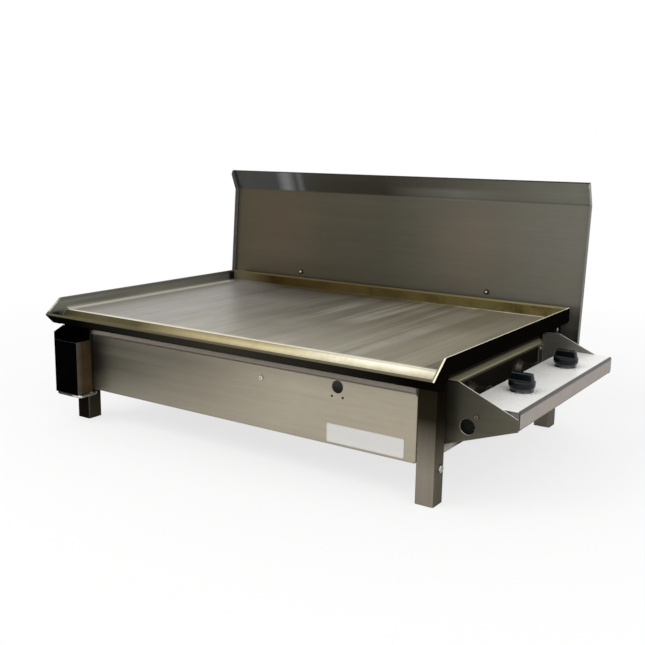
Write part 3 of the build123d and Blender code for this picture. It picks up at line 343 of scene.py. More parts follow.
class Grain(Enum):
    """Way in which a surface was drawn or brushed, as waves in each metre along X, Y and Z."""

    ALONG_X = (28.0, 850.0, 850.0)
    ALONG_Y = (850.0, 28.0, 850.0)
    ALONG_Z = (850.0, 850.0, 28.0)


# A place past every piece, and the width of an end that looks sharp
FAR = 9.0
SHARP = 1 * MM


@dataclass(frozen=True)
class Span:
    """A stretch of one axis.

    Attributes:
        low: Where it starts, in metres.
        high: Where it ends, in metres.
        soft: Width of its soft ends.
    """

    low: float = -FAR
    high: float = FAR
    soft: float = SHARP


def past(low: float, soft: float = SHARP) -> Span:
    """Gives all of an axis past one place."""
    return Span(low, FAR, soft)


def below(high: float, soft: float = SHARP) -> Span:
    """Gives all of an axis below one place."""
    return Span(-FAR, high, soft)


@dataclass(frozen=True)
class Side:
    """The faces that look one way.

    Attributes:
        way: The way that they look.
        start: Cosine of the angle to it where a tint starts.
        full: Cosine of that angle where the tint is full.
    """

    way: Triple
    start: float = 0.6
    full: float = 0.9


ALL_SIDES = Side((0.0, 0.0, 0.0), -1.0, -0.5)


@dataclass(frozen=True)
class Tint:
    """A change of tone in a soft-edged box, on the faces that look one way.

    Attributes:
        colour: Tone at full share.
        share: How much of it.
        x: The box's stretch from left to right.
        y: Its stretch from front to rear.
        z: Its stretch upwards.
        side: The faces that take the tint.
        bare: Whether metal still shows, and not a matt layer of painted shade, painted highlight, burnt-on
            grease or paint.
        streak: Where its wiped streaks start in their pattern, or none for an even tint.
    """

    colour: Colour
    share: float = 1.0
    x: Span = Span()
    y: Span = Span()
    z: Span = Span()
    side: Side = ALL_SIDES
    bare: bool = True
    streak: float | None = None

    def mask(self, tree: Tree, place: Socket, normal: Socket) -> Socket:
        """Adds the tint's box to a material.

        Args:
            tree: The material's tree.
            place: Object coordinates.
            normal: Normals in the object's own axes.

        Returns:
            The share of the tint from place to place.
        """
        spans = (self.x, self.y, self.z)
        zone = tree.use(
            Effects.painted_zone(), Vector=place, Normal=normal, Low=[span.low for span in spans],
            High=[span.high for span in spans], Soft=[span.soft for span in spans], Facing=self.side.way,
            Start=self.side.start, Full=self.side.full, Share=self.share,
        )
        return zone.outputs["Mask"]


@dataclass(frozen=True)
class Finish:
    """A surface with its tone, texture, smears, and worn edges that also serve as painted highlights.

    Attributes:
        name: Name of the material.
        colour: Tone of the surface.
        tints: Changes of that tone from place to place, painted light and shade among them.
        metallic: Share of metal.
        roughness: Middle roughness.
        spread: How far the texture moves the roughness.
        contrast: How far the texture moves the tone.
        relief: Strength of the bump.
        smears: Share of wiped streaks.
        smear_colour: Tone of those streaks.
        wear: Share of bare edges, which also serve as painted highlights.
        wear_and_highlight_colour: Tone of those edges, as bare metal and as painted highlight.
        wear_width: Width of an edge in metres.
        coat: Weight of a clear coat.
        gloss: Level of the shine where there is no metal.
        bump_height: Height of the texture in metres.
        dark_end: Value of the texture at its darkest and roughest.
        light_end: Value of the texture at its lightest and smoothest.
    """

    name: str
    colour: Colour
    tints: tuple[Tint, ...] = ()
    metallic: float = 0.62
    roughness: float = 0.34
    spread: float = 0.14
    contrast: float = 0.30
    relief: float = 0.12
    smears: float = 0.0
    smear_colour: Colour = (190, 182, 168)
    wear: float = 0.5
    wear_and_highlight_colour: Colour = (205, 200, 188)
    wear_width: float = 0.8 * MM
    coat: float = 0.0
    gloss: float = 0.5
    bump_height: float = 0.4 * MM
    dark_end: float = 0.3
    light_end: float = 0.7

    def texture(self, tree: Tree, place: Socket) -> Node:
        """Adds the group that gives the tone and the height of the surface, both from 0 to 1."""
        raise NotImplementedError

    def streaks(self) -> Triple:
        """Gives the way in which the surface was wiped."""
        return Grain.ALONG_X.value

    def tone(self, tree: Tree, place: Socket, normal: Socket) -> tuple[object, object]:
        """Adds the colour with its tints.

        Args:
            tree: The material's tree.
            place: Object coordinates.
            normal: Normals in the object's own axes.

        Returns:
            The colour before texture, smears and wear, and the share of bare surface.
        """
        colour: object = linear(self.colour)
        bare: object = 1.0
        for tint in self.tints:
            share = tint.mask(tree, place, normal)
            if tint.streak is not None:
                moved = tree.vector("ADD", place, (tint.streak, tint.streak, tint.streak))
                wiped = tree.use(Effects.oily_smears(), Vector=moved, Stretch=self.streaks())
                share = tree.product(share, wiped.outputs["Mask"])
            colour = tree.mix(share, colour, linear(tint.colour))
            if not tint.bare:
                bare = tree.product(tree.math("SUBTRACT", 1.0, share), bare)
        return colour, bare

    def material(self) -> bpy.types.Material:
        """Builds the material, or gives the one that was built before.

        Returns:
            The finished material.
        """
        if self.name in bpy.data.materials:
            return bpy.data.materials[self.name]
        made = bpy.data.materials.new(self.name)
        made.use_nodes = True
        tree = Tree(made.node_tree)
        shader = tree.add("ShaderNodeBsdfPrincipled")
        tree.feed(tree.add("ShaderNodeOutputMaterial").inputs["Surface"], shader.outputs[0])
        coordinates = tree.add("ShaderNodeTexCoord")
        place, normal = coordinates.outputs["Object"], coordinates.outputs["Normal"]
        texture = self.texture(tree, place)
        pattern, height = texture.outputs["Tone"], texture.outputs["Height"]
        colour, bare = self.tone(tree, place, normal)
        ends = (self.dark_end, self.light_end)
        deep = tree.span(pattern, *ends, 1.0 - self.contrast, 1.0 + self.contrast)
        colour = tree.mix(1.0, colour, deep, "MULTIPLY")
        if self.smears:
            wiped = tree.use(Effects.oily_smears(), Vector=place, Stretch=self.streaks())
            share = tree.product(wiped.outputs["Mask"], self.smears, bare)
            colour = tree.mix(share, colour, linear(self.smear_colour))
        edge = tree.use(Effects.edge_wear_and_highlight(), Vector=place, Width=self.wear_width)
        share = tree.product(edge.outputs["Mask"], self.wear, bare)
        tree.feed(shader.inputs["Base Color"], tree.mix(share, colour, linear(self.wear_and_highlight_colour)))
        half = self.spread / 2
        rough = tree.span(pattern, *ends, self.roughness + half, self.roughness - half)
        tree.feed(shader.inputs["Roughness"], rough)
        bump = tree.add("ShaderNodeBump")
        tree.feed(bump.inputs["Strength"], self.relief)
        tree.feed(bump.inputs["Distance"], self.bump_height)
        tree.feed(bump.inputs["Height"], height)
        tree.feed(bump.inputs["Normal"], edge.outputs["Normal"])
        tree.feed(shader.inputs["Normal"], bump.outputs[0])
        metal = tree.product(bare, self.metallic) if isinstance(bare, Socket) else self.metallic
        tree.feed(shader.inputs["Metallic"], metal)
        tree.feed(shader.inputs["Coat Weight"], self.coat)
        tree.feed(shader.inputs["Specular IOR Level"], self.gloss)
        return made


@dataclass(frozen=True)
class Drawn(Finish):
    """Metal that was brushed, rolled or turned one way.

    Attributes:
        grain: The way of its lines.
        fineness: How much finer than the common grain.
    """

    grain: Grain = Grain.ALONG_X
    fineness: float = 1.0

    def texture(self, tree: Tree, place: Socket) -> Node:
        """Adds the drawn lines."""
        return tree.use(Effects.drawn_grain(), Vector=place, Stretch=self.streaks())

    def streaks(self) -> Triple:
        """Gives the stretch of the lines, which the smears follow."""
        x, y, z = self.grain.value
        return (x * self.fineness, y * self.fineness, z * self.fineness)


@dataclass(frozen=True)
class Speckled(Finish):
    """Moulded, cast, sprayed or enamelled surface with an even fine texture.

    Attributes:
        scale: Specks in each metre.
    """

    scale: float = 900.0

    def texture(self, tree: Tree, place: Socket) -> Node:
        """Adds the specks."""
        return tree.use(Effects.fine_mottle(), Vector=place, Scale=self.scale)


@dataclass(frozen=True)
class Rim:
    """Pressed rim of a thin plate.

    Attributes:
        corner: Radius of the plate's corners.
        steps: Facets of each corner.
        flat: Width of the rim.
        slope: Width of the slope inside it.
        sink: How far the middle lies below the rim.
    """

    corner: float
    steps: int
    flat: float
    slope: float
    sink: float


class Bench:
    """Short calls for modelling with Blender's operators."""

    # Cosine past which a face counts as looking one way
    SQUARE_ON = 0.9

    @staticmethod
    def clear() -> None:
        """Leaves edit mode and deselects everything."""
        if bpy.context.mode != "OBJECT":
            bpy.ops.object.mode_set(mode="OBJECT")
        bpy.ops.object.select_all(action="DESELECT")

    @classmethod
    def take(cls, piece: Piece) -> None:
        """Selects one piece alone and makes it the active one."""
        cls.clear()
        piece.select_set(True)
        bpy.context.view_layer.objects.active = piece

    @staticmethod
    def settle(name: str) -> Piece:
        """Names the active piece and puts its place in its mesh.

        Args:
            name: Name of the piece.

        Returns:
            The piece, at the origin, unturned and unscaled.
        """
        made = bpy.context.object
        made.name = name
        bpy.ops.object.transform_apply(location=True, rotation=True, scale=True)
        return made

    @classmethod
    def block(cls, name: str, low: Vector, high: Vector) -> Piece:
        """Adds a block between two corners.

        Args:
            name: Name of the piece.
            low: Low corner in metres.
            high: High corner in metres.

        Returns:
            The block.
        """
        cls.clear()
        bpy.ops.mesh.primitive_cube_add(size=1.0, location=(low + high) / 2, scale=high - low)
        return cls.settle(name)

    @classmethod
    def drum(cls, name: str, radius: float, low: float, high: float, sides: int = 40) -> Piece:
        """Adds an upright drum on the Z axis.

        Args:
            name: Name of the piece.
            radius: Its radius in metres.
            low: Height of its foot.
            high: Height of its top.
            sides: Corners of its outline.

        Returns:
            The drum.
        """
        cls.clear()
        bpy.ops.mesh.primitive_cylinder_add(
            vertices=sides, radius=radius, depth=high - low, location=(0.0, 0.0, (low + high) / 2)
        )
        return cls.settle(name)

    @classmethod
    @contextmanager
    def editing(cls, piece: Piece) -> Iterator[None]:
        """Opens one piece in edit mode with nothing selected.

        Args:
            piece: The piece to shape.

        Returns:
            A context that closes edit mode at its end.
        """
        cls.take(piece)
        bpy.ops.object.mode_set(mode="EDIT")
        bpy.ops.mesh.select_all(action="DESELECT")
        yield
        bpy.ops.object.mode_set(mode="OBJECT")

    @classmethod
    def pick_side(cls, piece: Piece, way: Triple) -> None:
        """Selects the faces that look one way.

        Args:
            piece: The piece in edit mode.
            way: The way that they look.
        """
        bpy.ops.mesh.select_mode(type="FACE")
        shape = bmesh.from_edit_mesh(piece.data)
        for face in shape.faces:
            face.select_set(face.normal.dot(Vector(way)) > cls.SQUARE_ON)
        bmesh.update_edit_mesh(piece.data)

    @staticmethod
    def pick_edges(piece: Piece, test: Callable[[Vector, Vector], bool]) -> None:
        """Selects the edges that pass a test.

        Args:
            piece: The piece in edit mode.
            test: Takes an edge's two ends.
        """
        bpy.ops.mesh.select_mode(type="EDGE")
        shape = bmesh.from_edit_mesh(piece.data)
        for edge in shape.edges:
            edge.select_set(test(edge.verts[0].co, edge.verts[1].co))
        bmesh.update_edit_mesh(piece.data)

    @classmethod
    def round_corners(cls, piece: Piece, way: Triple, thick: float, radius: float, steps: int) -> None:
        """Rounds the corners of a thin piece.

        Args:
            piece: The piece in edit mode.
            way: The way through its thickness.
            thick: That thickness.
            radius: Radius of the corners.
            steps: Facets of each corner.
        """
        cls.pick_edges(piece, lambda a, b: abs((a - b).dot(Vector(way))) > thick / 2)
        bpy.ops.mesh.bevel(offset=radius, segments=steps, affect="EDGES")

    @classmethod
    def plaque(cls, name: str, low: Vector, high: Vector, way: Triple, rim: Rim) -> Piece:
        """Models a thin plate with rounded corners and a pressed rim.

        Args:
            name: Name of the piece.
            low: Low corner in metres.
            high: High corner in metres.
            way: The way that its face looks.
            rim: Sizes of its corners and rim.

        Returns:
            The plate.
        """
        made = cls.block(name, low, high)
        with cls.editing(made):
            cls.round_corners(made, way, abs((high - low).dot(Vector(way))), rim.corner, rim.steps)
            cls.pick_side(made, way)
            bpy.ops.mesh.inset(thickness=rim.flat, depth=0.0)
            bpy.ops.mesh.inset(thickness=rim.slope, depth=-rim.sink)
        return made

    @classmethod
    def carve(cls, piece: Piece, cutter: Piece) -> None:
        """Cuts one piece out of another and takes the cutter away.

        Args:
            piece: The piece that is cut.
            cutter: The shape that is taken out.
        """
        cls.take(piece)
        cut = piece.modifiers.new("cut", "BOOLEAN")
        cut.operation = "DIFFERENCE"
        cut.object = cutter
        cut.solver = "EXACT"
        cut.use_self = True
        bpy.ops.object.modifier_apply(modifier=cut.name)
        bpy.data.objects.remove(cutter)

    @classmethod
    def smooth(cls, piece: Piece, angle: float = 35.0) -> None:
        """Shades a piece smooth except at edges that turn more than an angle in degrees."""
        cls.take(piece)
        bpy.ops.object.shade_smooth_by_angle(angle=math.radians(angle))

    @classmethod
    def copies(cls, master: Piece, name: str, places: list[Matrix]) -> Piece:
        """Copies a shape to several places, each with its own mesh, as one piece.

        Args:
            master: The shape, modelled round the origin, which is taken away.
            name: Name of the joined piece.
            places: Where each copy goes.

        Returns:
            The joined piece, with its places in its mesh.
        """
        made = []
        for place in places:
            cls.take(master)
            bpy.ops.object.duplicate()
            bpy.context.object.matrix_world = place
            made.append(cls.settle(name))
        bpy.data.objects.remove(master)
        cls.take(made[0])
        for copy in made:
            copy.select_set(True)
        bpy.ops.object.join()
        return made[0]


def facing_matrix(place: Vector, way: Vector) -> Matrix:
    """Gives the matrix that puts a shape at a place, with its Z axis looking one way."""
    return Matrix.Translation(place) @ way.to_track_quat("Z", "Y").to_matrix().to_4x4()


# Places of the tints, from the frame
PLATE_LOW, PLATE_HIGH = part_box("hotplate")
LEFT_END = PLATE_LOW.x + 50 * MM
INNER_END = PLATE_HIGH.x - 4 * MM
OUTER_END = PLATE_HIGH.x - 30 * MM
END_RIM = PLATE_HIGH.x - 4.5 * MM
END_EDGE = PLATE_HIGH.x - 2.4 * MM
GUTTER_BACK = PLATE_LOW.y + 67.63 * MM
GUTTER_EDGE = PLATE_LOW.y + 46.13 * MM
LIP_BACK = PLATE_LOW.y + 5.63 * MM
REAR_PART = PLATE_HIGH.y - 107 * MM
UPSTAND = PLATE_HIGH.y - 17 * MM
PLATE_TOP = PLATE_HIGH.z - 19 * MM
UPSTAND_RIM = PLATE_HIGH.z - 2.5 * MM
END_FOOT = PLATE_HIGH.z - 37 * MM
PANEL_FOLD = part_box("front_panel")[1].z - 8 * MM
SKIRT_LOW, SKIRT_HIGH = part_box("side_panel_right")
SKIRT_FOLD = SKIRT_HIGH.z - 10 * MM
SKIRT_TOP = SKIRT_HIGH.z - 4.5 * MM
SKIRT_RIGHT = SKIRT_LOW.x + 4 * MM
SPLASH_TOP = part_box("splashback")[1].z
BAND_FOLD = SPLASH_TOP - 35.87 * MM
SPLASH_RIM = SPLASH_TOP - 2.07 * MM
FASCIA_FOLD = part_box("fascia")[1].x - 2.3 * MM
LEG_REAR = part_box("leg_front_left")[1].y + 5.5 * MM
CAN_LOW, CAN_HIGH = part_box("grease_can")
CAN_SKIN = 1.05 * MM

# Faces that several tints share
LEFT_SIDE, RIGHT_SIDE, FRONT_SIDE, REAR_SIDE = (Side(way) for way in (LEFT, RIGHT, FRONT, REAR))
CAN_SIDES = {way: Side(way, 0.7, 0.95) for way in (LEFT, RIGHT, REAR)}
SQUARE_FRONT = Side(FRONT, 0.8, 0.95)
TOP_EDGES = Side(UP, 0.5, 0.75)
UNDERSIDE = Side(DOWN, 0.2, 0.4)
GUTTER_BEND = Side((0.0, -0.38, 0.92), 0.94, 0.975)
GUTTER_SLOPE = Side((0.0, -0.707, 0.707), 0.9, 0.99)
LIP_UNDERSIDE = Side((0.0, -0.7, -0.7))

# Finishes, with the tones that the photograph shows, painted light and shade among them
# Near black for painted shade on undersides, outer faces and parts inside the control box
PAINTED_SHADE_BLACK = (8, 7, 6)


def gutter(colour: Colour, share: float, x: Span, z: Span = below(PLATE_TOP)) -> Tint:
    """Gives a tint on the gutter's slope, where it paints reflection and shade."""
    return Tint(colour, share, x, below(GUTTER_BACK), z, GUTTER_SLOPE)


def upstand(colour: Colour, share: float = 1.0, x: Span = Span(), streak: float | None = None) -> Tint:
    """Gives a burnt-on tint on the rear upstand's face."""
    return Tint(colour, share, x, past(REAR_PART), side=SQUARE_FRONT, bare=False, streak=streak)


# The plate's cooking face: painted reflections and shade, wiped streaks, and burnt-on brown towards the rear
COOKING_TINTS = (
    # Painted reflections: darker towards the right, lighter again at the right end
    Tint((106, 99, 79), 0.9, past(-0.02, 0.4)),
    Tint((162, 156, 137), 0.85, past(0.18, 0.2)),
    Tint((66, 58, 40), 0.85, past(-0.08, 0.14), streak=0.0),
    Tint((188, 183, 167), 0.8, past(-0.05, 0.2), streak=3.7),
    # Brown towards the rear: burnt-on grease together with a painted reflection of the splashback
    Tint((64, 55, 32), 0.9, Span(-0.22, 0.16, 0.16), past(0.05, 0.26), streak=7.1, bare=False),
    Tint((54, 46, 26), 0.95, Span(-0.27, 0.08, 0.1), past(0.165, 0.09), bare=False),
    Tint((74, 65, 40), 0.9, below(0.14, 0.2), past(0.195, 0.03), bare=False),
    # Painted reflections that lighten the front
    Tint((190, 185, 170), 0.5, Span(-0.01, 0.22, 0.1), below(-0.07, 0.24)),
    Tint((176, 171, 158), 0.5, Span(-0.15, 0.01, 0.1), below(-0.12, 0.14)),
    # Painted shade towards the rear, at the left and at the right
    Tint((50, 45, 30), 0.45, Span(-0.25, -0.06, 0.1), past(0.085, 0.07)),
    Tint((84, 80, 62), 0.35, Span(0.15, 0.29, 0.06), Span(0.01, 0.165, 0.08)),
)
# Painted highlights along the plate's front bend and left edge, and painted reflections and shade on the
# gutter's slope and its lip
GUTTER_TINTS = (
    # Painted highlight along the front edge
    Tint(
        (228, 222, 206), 0.7, Span(LEFT_END, 0.33, 0.1), below(GUTTER_EDGE, 0.007),
        past(PLATE_TOP - 2 * MM),
    ),
    # Painted highlight in the left cove
    Tint(
        (192, 189, 174), 0.9, Span(PLATE_LOW.x + 5 * MM, PLATE_LOW.x + 15 * MM, 0.003),
        below(UPSTAND, 0.02), below(PLATE_TOP + 5 * MM, 0.004), bare=False,
    ),
    # Painted highlight on the bend
    Tint((222, 216, 196), 0.9, y=below(GUTTER_BACK), side=GUTTER_BEND, bare=False),
    # Painted reflections on the gutter's slope: dark olive at the left, cream at the right, with painted
    # shade and highlight bands
    gutter((72, 66, 44), 1.0, Span(-INNER_END, INNER_END)),
    gutter((216, 210, 184), 1.0, Span(0.08, INNER_END, 0.5)),
    gutter((176, 160, 108), 0.4, Span(-0.12, 0.14, 0.12)),
    gutter((112, 100, 68), 0.45, Span(-0.12, 0.14, 0.14), Span(0.1778, PLATE_TOP, 0.003)),
    gutter((248, 242, 224), 0.6, Span(0.2, INNER_END, 0.18), Span(0.1768, PLATE_TOP, 0.005)),
    gutter((112, 104, 74), 0.4, Span(-INNER_END, INNER_END), below(0.1735, 0.003)),
    # Painted shade on the lip's top edge
    Tint((84, 78, 64), 0.95, y=below(LIP_BACK), side=GUTTER_SLOPE, bare=False),
)
# The end walls: a painted reflection and painted shade on the left wall's inner face, the rear upstand, and a
# painted highlight along the right end's edge
WALL_TINTS = (
    # Left wall's inner face: a painted reflection lightens it, wiped streaks darken it, and painted shade
    # deepens towards its rear and gutter corners
    Tint((150, 150, 140), x=below(0.0), side=RIGHT_SIDE),
    Tint((58, 57, 48), 0.85, below(LEFT_END), side=RIGHT_SIDE, streak=11.3),
    Tint((34, 31, 24), 0.9, below(LEFT_END, 1.0), past(0.16, 0.16), side=RIGHT_SIDE),
    Tint((6, 5, 4), 0.95, below(LEFT_END, 0.01), past(UPSTAND - 4 * MM, 0.01), side=RIGHT_SIDE, bare=False),
    Tint(
        (18, 14, 6), 0.92, below(LEFT_END, 0.01), Span(-0.26, -0.239, 0.012), below(0.1812, 0.004),
        RIGHT_SIDE, bare=False,
    ),
    # Darker along the tops towards the left
    Tint((40, 40, 35), 0.85, below(LEFT_END, 1.0), z=past(0.197, 0.005), bare=False),
    # The rear upstand: burnt-on brown, lighter towards the right and at the left end, with darker streaks
    upstand((60, 47, 22)),
    upstand((106, 96, 60), x=past(0.05, 0.6)),
    upstand((46, 36, 18), 0.7, streak=5.2),
    upstand((100, 94, 76), 0.85, below(-0.285, 0.07)),
    # Tan along the upstand's rim, lighter towards the right
    Tint((98, 88, 58), y=past(UPSTAND), z=past(UPSTAND_RIM), bare=False),
    Tint((136, 126, 94), x=past(0.14, 0.3), y=past(UPSTAND), z=past(UPSTAND_RIM), bare=False),
    # Tan on the right end's rim, and a painted highlight along its outer edge
    Tint((110, 102, 72), x=past(END_RIM, 0.0005), z=past(END_FOOT, 0.004)),
    Tint((236, 230, 212), x=past(END_EDGE, 0.0008), z=past(END_FOOT, 0.004)),
)
# The plate's outside, painted black as shade, with painted shade under the lip
OUTSIDE_TINTS = (
    Tint(PAINTED_SHADE_BLACK, side=UNDERSIDE, bare=False),
    Tint((56, 54, 46), 0.9, Span(-0.13, 0.16, 0.3), below(GUTTER_BACK), side=LIP_UNDERSIDE, bare=False),
    Tint(PAINTED_SHADE_BLACK, x=past(OUTER_END), side=RIGHT_SIDE, bare=False),
    Tint(PAINTED_SHADE_BLACK, x=below(-OUTER_END), side=LEFT_SIDE, bare=False),
    Tint(PAINTED_SHADE_BLACK, y=past(UPSTAND), side=REAR_SIDE, bare=False),
)
PLATE_FINISH = Drawn(
    "cooking plate steel", (154, 150, 144), COOKING_TINTS + GUTTER_TINTS + WALL_TINTS + OUTSIDE_TINTS,
    grain=Grain.ALONG_Y, fineness=0.9, roughness=0.38, contrast=0.08, smears=0.12,
    smear_colour=(112, 106, 90), wear=0.4, wear_and_highlight_colour=(196, 190, 172), wear_width=1.2 * MM, gloss=0.0,
)
FRONT_FINISH = Drawn(
    "front skirt steel", (167, 158, 140), grain=Grain.ALONG_X, contrast=0.06, roughness=0.38, smears=0.2,
    smear_colour=(140, 133, 116),
    tints=(
        # Painted shade: darker towards the left
        Tint((46, 44, 33), x=below(-0.09, 0.4)),
        # Painted shade under the gutter at the top left
        Tint((40, 38, 30), 0.34, below(-0.02, 0.14), z=Span(0.116, PANEL_FOLD, 0.03)),
        # Painted light: lighter towards the bottom
        Tint((190, 183, 166), 0.24, Span(-0.29, 0.1, 0.03), z=below(0.078, 0.04)),
        # Painted highlight on the leaning band
        Tint((240, 226, 210), 0.9, z=past(PANEL_FOLD, 0.002), bare=False),
        # Painted shadow of the grease can
        Tint((20, 18, 13), 0.9, below(-0.266, 0.03), z=past(0.078, 0.02), side=SQUARE_FRONT, bare=False),
    ),
)
SKIRT_FINISH = Drawn(
    "skirt steel", (128, 121, 108), grain=Grain.ALONG_Y, contrast=0.08, roughness=0.38, smears=0.2,
    smear_colour=(110, 102, 88), gloss=0.0,
    tints=(
        # Painted shade on the side panel's face inside the control box
        Tint(
            (12, 10, 7), 0.97, past(SKIRT_RIGHT, 0.01), Span(-0.13, 0.185, 0.03),
            Span(0.04, SKIRT_FOLD, 0.01), bare=False,
        ),
        # Painted highlight on the leaning band, and painted shadow of the plate along its top
        Tint((190, 184, 148), 0.9, z=past(SKIRT_FOLD, 0.002)),
        Tint((18, 16, 11), 0.95, z=past(SKIRT_TOP, 0.003), bare=False),
        # Painted highlight low at the front
        Tint((200, 197, 186), 0.8, past(SKIRT_RIGHT, 0.01), below(-0.13, 0.03), below(0.062, 0.008)),
    ),
)
REAR_FINISH = Drawn(
    "rear skirt steel", (130, 124, 112), grain=Grain.ALONG_X, contrast=0.08, roughness=0.38, smears=0.2,
    smear_colour=(110, 103, 90),
)
LEG_FINISH = Drawn(
    "leg tube steel", (140, 132, 120), grain=Grain.ALONG_Z, contrast=0.10, roughness=0.36, smears=0.2,
    smear_colour=(112, 102, 88), gloss=0.0,
    tints=(
        # Painted shade: the right faces darker, the tops dark under the plate, and the front left leg in the
        # can's shadow with painted light on its right face
        Tint((90, 84, 70), 0.9, side=RIGHT_SIDE),
        Tint((31, 28, 18), 0.99, z=past(0.078, 0.075), bare=False),
        Tint((18, 12, 8), 0.95, z=past(0.1, 0.08), side=RIGHT_SIDE, bare=False),
        Tint((22, 20, 16), x=below(LEFT_END), y=below(LEG_REAR), side=FRONT_SIDE, bare=False),
        Tint((66, 61, 46), x=below(LEFT_END), y=below(LEG_REAR), side=RIGHT_SIDE),
    ),
)
SPLASH_FINISH = Drawn(
    "splashback steel", (70, 63, 47), grain=Grain.ALONG_X, contrast=0.07, roughness=0.34, smears=0.2,
    smear_colour=(84, 78, 64), wear_and_highlight_colour=(150, 152, 150),
    tints=(
        # Painted reflections: lighter towards the right, with warmer patches
        Tint((66, 63, 50), x=past(-0.12, 0.3)),
        Tint((107, 105, 95), x=past(0.2, 0.42)),
        Tint((88, 72, 56), 0.35, Span(-0.30, -0.18, 0.1), z=Span(0.2, 0.36, 0.06)),
        Tint((112, 92, 76), 0.3, Span(0.10, 0.22, 0.1), z=Span(0.22, 0.35, 0.06)),
        # Painted reflections and highlights on the leaning band
        Tint((60, 60, 59), z=past(BAND_FOLD, 0.003)),
        Tint((57, 55, 45), x=past(-0.18, 0.06), z=past(BAND_FOLD, 0.003)),
        Tint((130, 131, 125), x=past(0.16, 0.36), z=past(BAND_FOLD, 0.003)),
        Tint((134, 136, 132), 0.7, Span(0.06, 0.2, 0.14), z=Span(BAND_FOLD, 0.381, 0.008), side=FRONT_SIDE),
        Tint((124, 126, 126), 0.85, Span(-0.250, -0.222, 0.02), z=past(BAND_FOLD, 0.003), side=FRONT_SIDE),
        Tint((112, 114, 114), 0.8, Span(-0.208, -0.198, 0.012), z=past(BAND_FOLD, 0.003), side=FRONT_SIDE),
        # Painted highlight on the left flange's inner face, and painted shade along the top edge
        Tint((156, 158, 156), 0.9, below(LEFT_END), side=RIGHT_SIDE),
        Tint((36, 37, 34), z=past(SPLASH_RIM)),
    ),
)
END_FINISH = Drawn(
    "control box steel", (50, 48, 37), grain=Grain.ALONG_X, contrast=0.09, roughness=0.36, smears=0.2,
    smear_colour=(76, 72, 58), wear=0.6, wear_width=1.2 * MM,
    tints=(
        # Painted shade: darker inwards towards the legs and upwards; painted light on the rear plate's front
        # face; painted highlights on the top edges
        Tint((84, 80, 66), 0.9, past(0.38, 0.08)),
        Tint((98, 94, 80), 0.8, z=below(0.094, 0.02)),
        Tint((134, 132, 123), 0.95, past(0.3, 0.01), past(0.15, 0.01), side=FRONT_SIDE),
        Tint((236, 232, 220), side=TOP_EDGES, bare=False),
    ),
)
STRIP_FINISH = Drawn("plated strip", (128, 128, 124), grain=Grain.ALONG_Z, contrast=0.10, roughness=0.42)
BAR_FINISH = Drawn(
    "plated bar", (118, 116, 110), grain=Grain.ALONG_Y, contrast=0.10, roughness=0.42, gloss=0.0,
    # Painted shade on the front end inside the control box
    tints=(Tint((16, 14, 11), 0.97, past(0.33, 0.01), below(-0.15, 0.01), bare=False),),
)
BURNER_FINISH = Drawn(
    "burner tube steel", (128, 120, 108), grain=Grain.ALONG_X, contrast=0.14, roughness=0.42, smears=0.4,
    smear_colour=(84, 66, 50),
    tints=(
        Tint((98, 74, 52), 0.6, z=past(0.128, 0.012)),
        # Painted shade at the burner mouths inside the control box
        Tint((34, 24, 17), 0.95, past(0.31, 0.02), bare=False),
    ),
)
BOLT_FINISH = Speckled(
    "bright plating", (196, 194, 188), metallic=1.0, roughness=0.24, contrast=0.08, relief=0.05, scale=1500.0
)
DULL_FINISH = Speckled(
    "dull plating", (92, 84, 72), metallic=0.8, roughness=0.38, contrast=0.14, relief=0.08, scale=1500.0
)
# Splash screw heads: dark reddish brown for painted shade, with a painted glint on each
SHADED_SCREW_FINISH = Speckled(
    "screw plating with painted shade and glints", (58, 34, 22), metallic=0.4, roughness=0.36, contrast=0.16, relief=0.08, scale=1500.0,
    wear=0.2, wear_and_highlight_colour=(150, 132, 110), gloss=0.1,
    tints=(
        Tint((236, 228, 210), x=Span(-0.1974, -0.1940, 0.0012), z=Span(0.2088, 0.2115, 0.0012)),
        Tint((206, 198, 180), x=Span(0.1944, 0.1976, 0.0012), z=Span(0.2088, 0.2115, 0.0012)),
    ),
)
SPRING_FINISH = Speckled(
    "plated spring wire", (158, 158, 156), metallic=1.0, roughness=0.26, contrast=0.10, scale=1500.0
)
RAIL_FINISH = Drawn(
    "plated gas rail", (150, 150, 146), grain=Grain.ALONG_Y, roughness=0.34, contrast=0.12, gloss=0.1,
    # Painted shade at the rail's front end
    tints=(Tint(PAINTED_SHADE_BLACK, y=below(-0.168, 0.02), bare=False),),
)
BRASS_FINISH = Drawn(
    "turned brass", (190, 152, 84), grain=Grain.ALONG_X, roughness=0.30, contrast=0.12,
    wear_and_highlight_colour=(226, 196, 128),
)
VALVE_FINISH = Speckled(
    "cast valve alloy", (150, 149, 146), roughness=0.46, contrast=0.14, relief=0.3, scale=1100.0
)
ENAMEL_FINISH = Speckled(
    "white enamel", (242, 241, 237), metallic=0.0, gloss=0.3, roughness=0.30, spread=0.10, contrast=0.02,
    relief=0.05, scale=420.0, wear=0.2, wear_and_highlight_colour=(120, 115, 110), coat=0.05,
    # Painted shade over the lip, round the bare strip
    tints=(Tint((34, 30, 29), 0.98, past(FASCIA_FOLD), bare=False),),
)
LABEL_FINISH = Speckled(
    "blank strip", (150, 141, 135), metallic=0.0, gloss=0.15, roughness=0.46, spread=0.10, contrast=0.06,
    relief=0.04, scale=300.0, wear=0.3, wear_and_highlight_colour=(196, 190, 184),
)
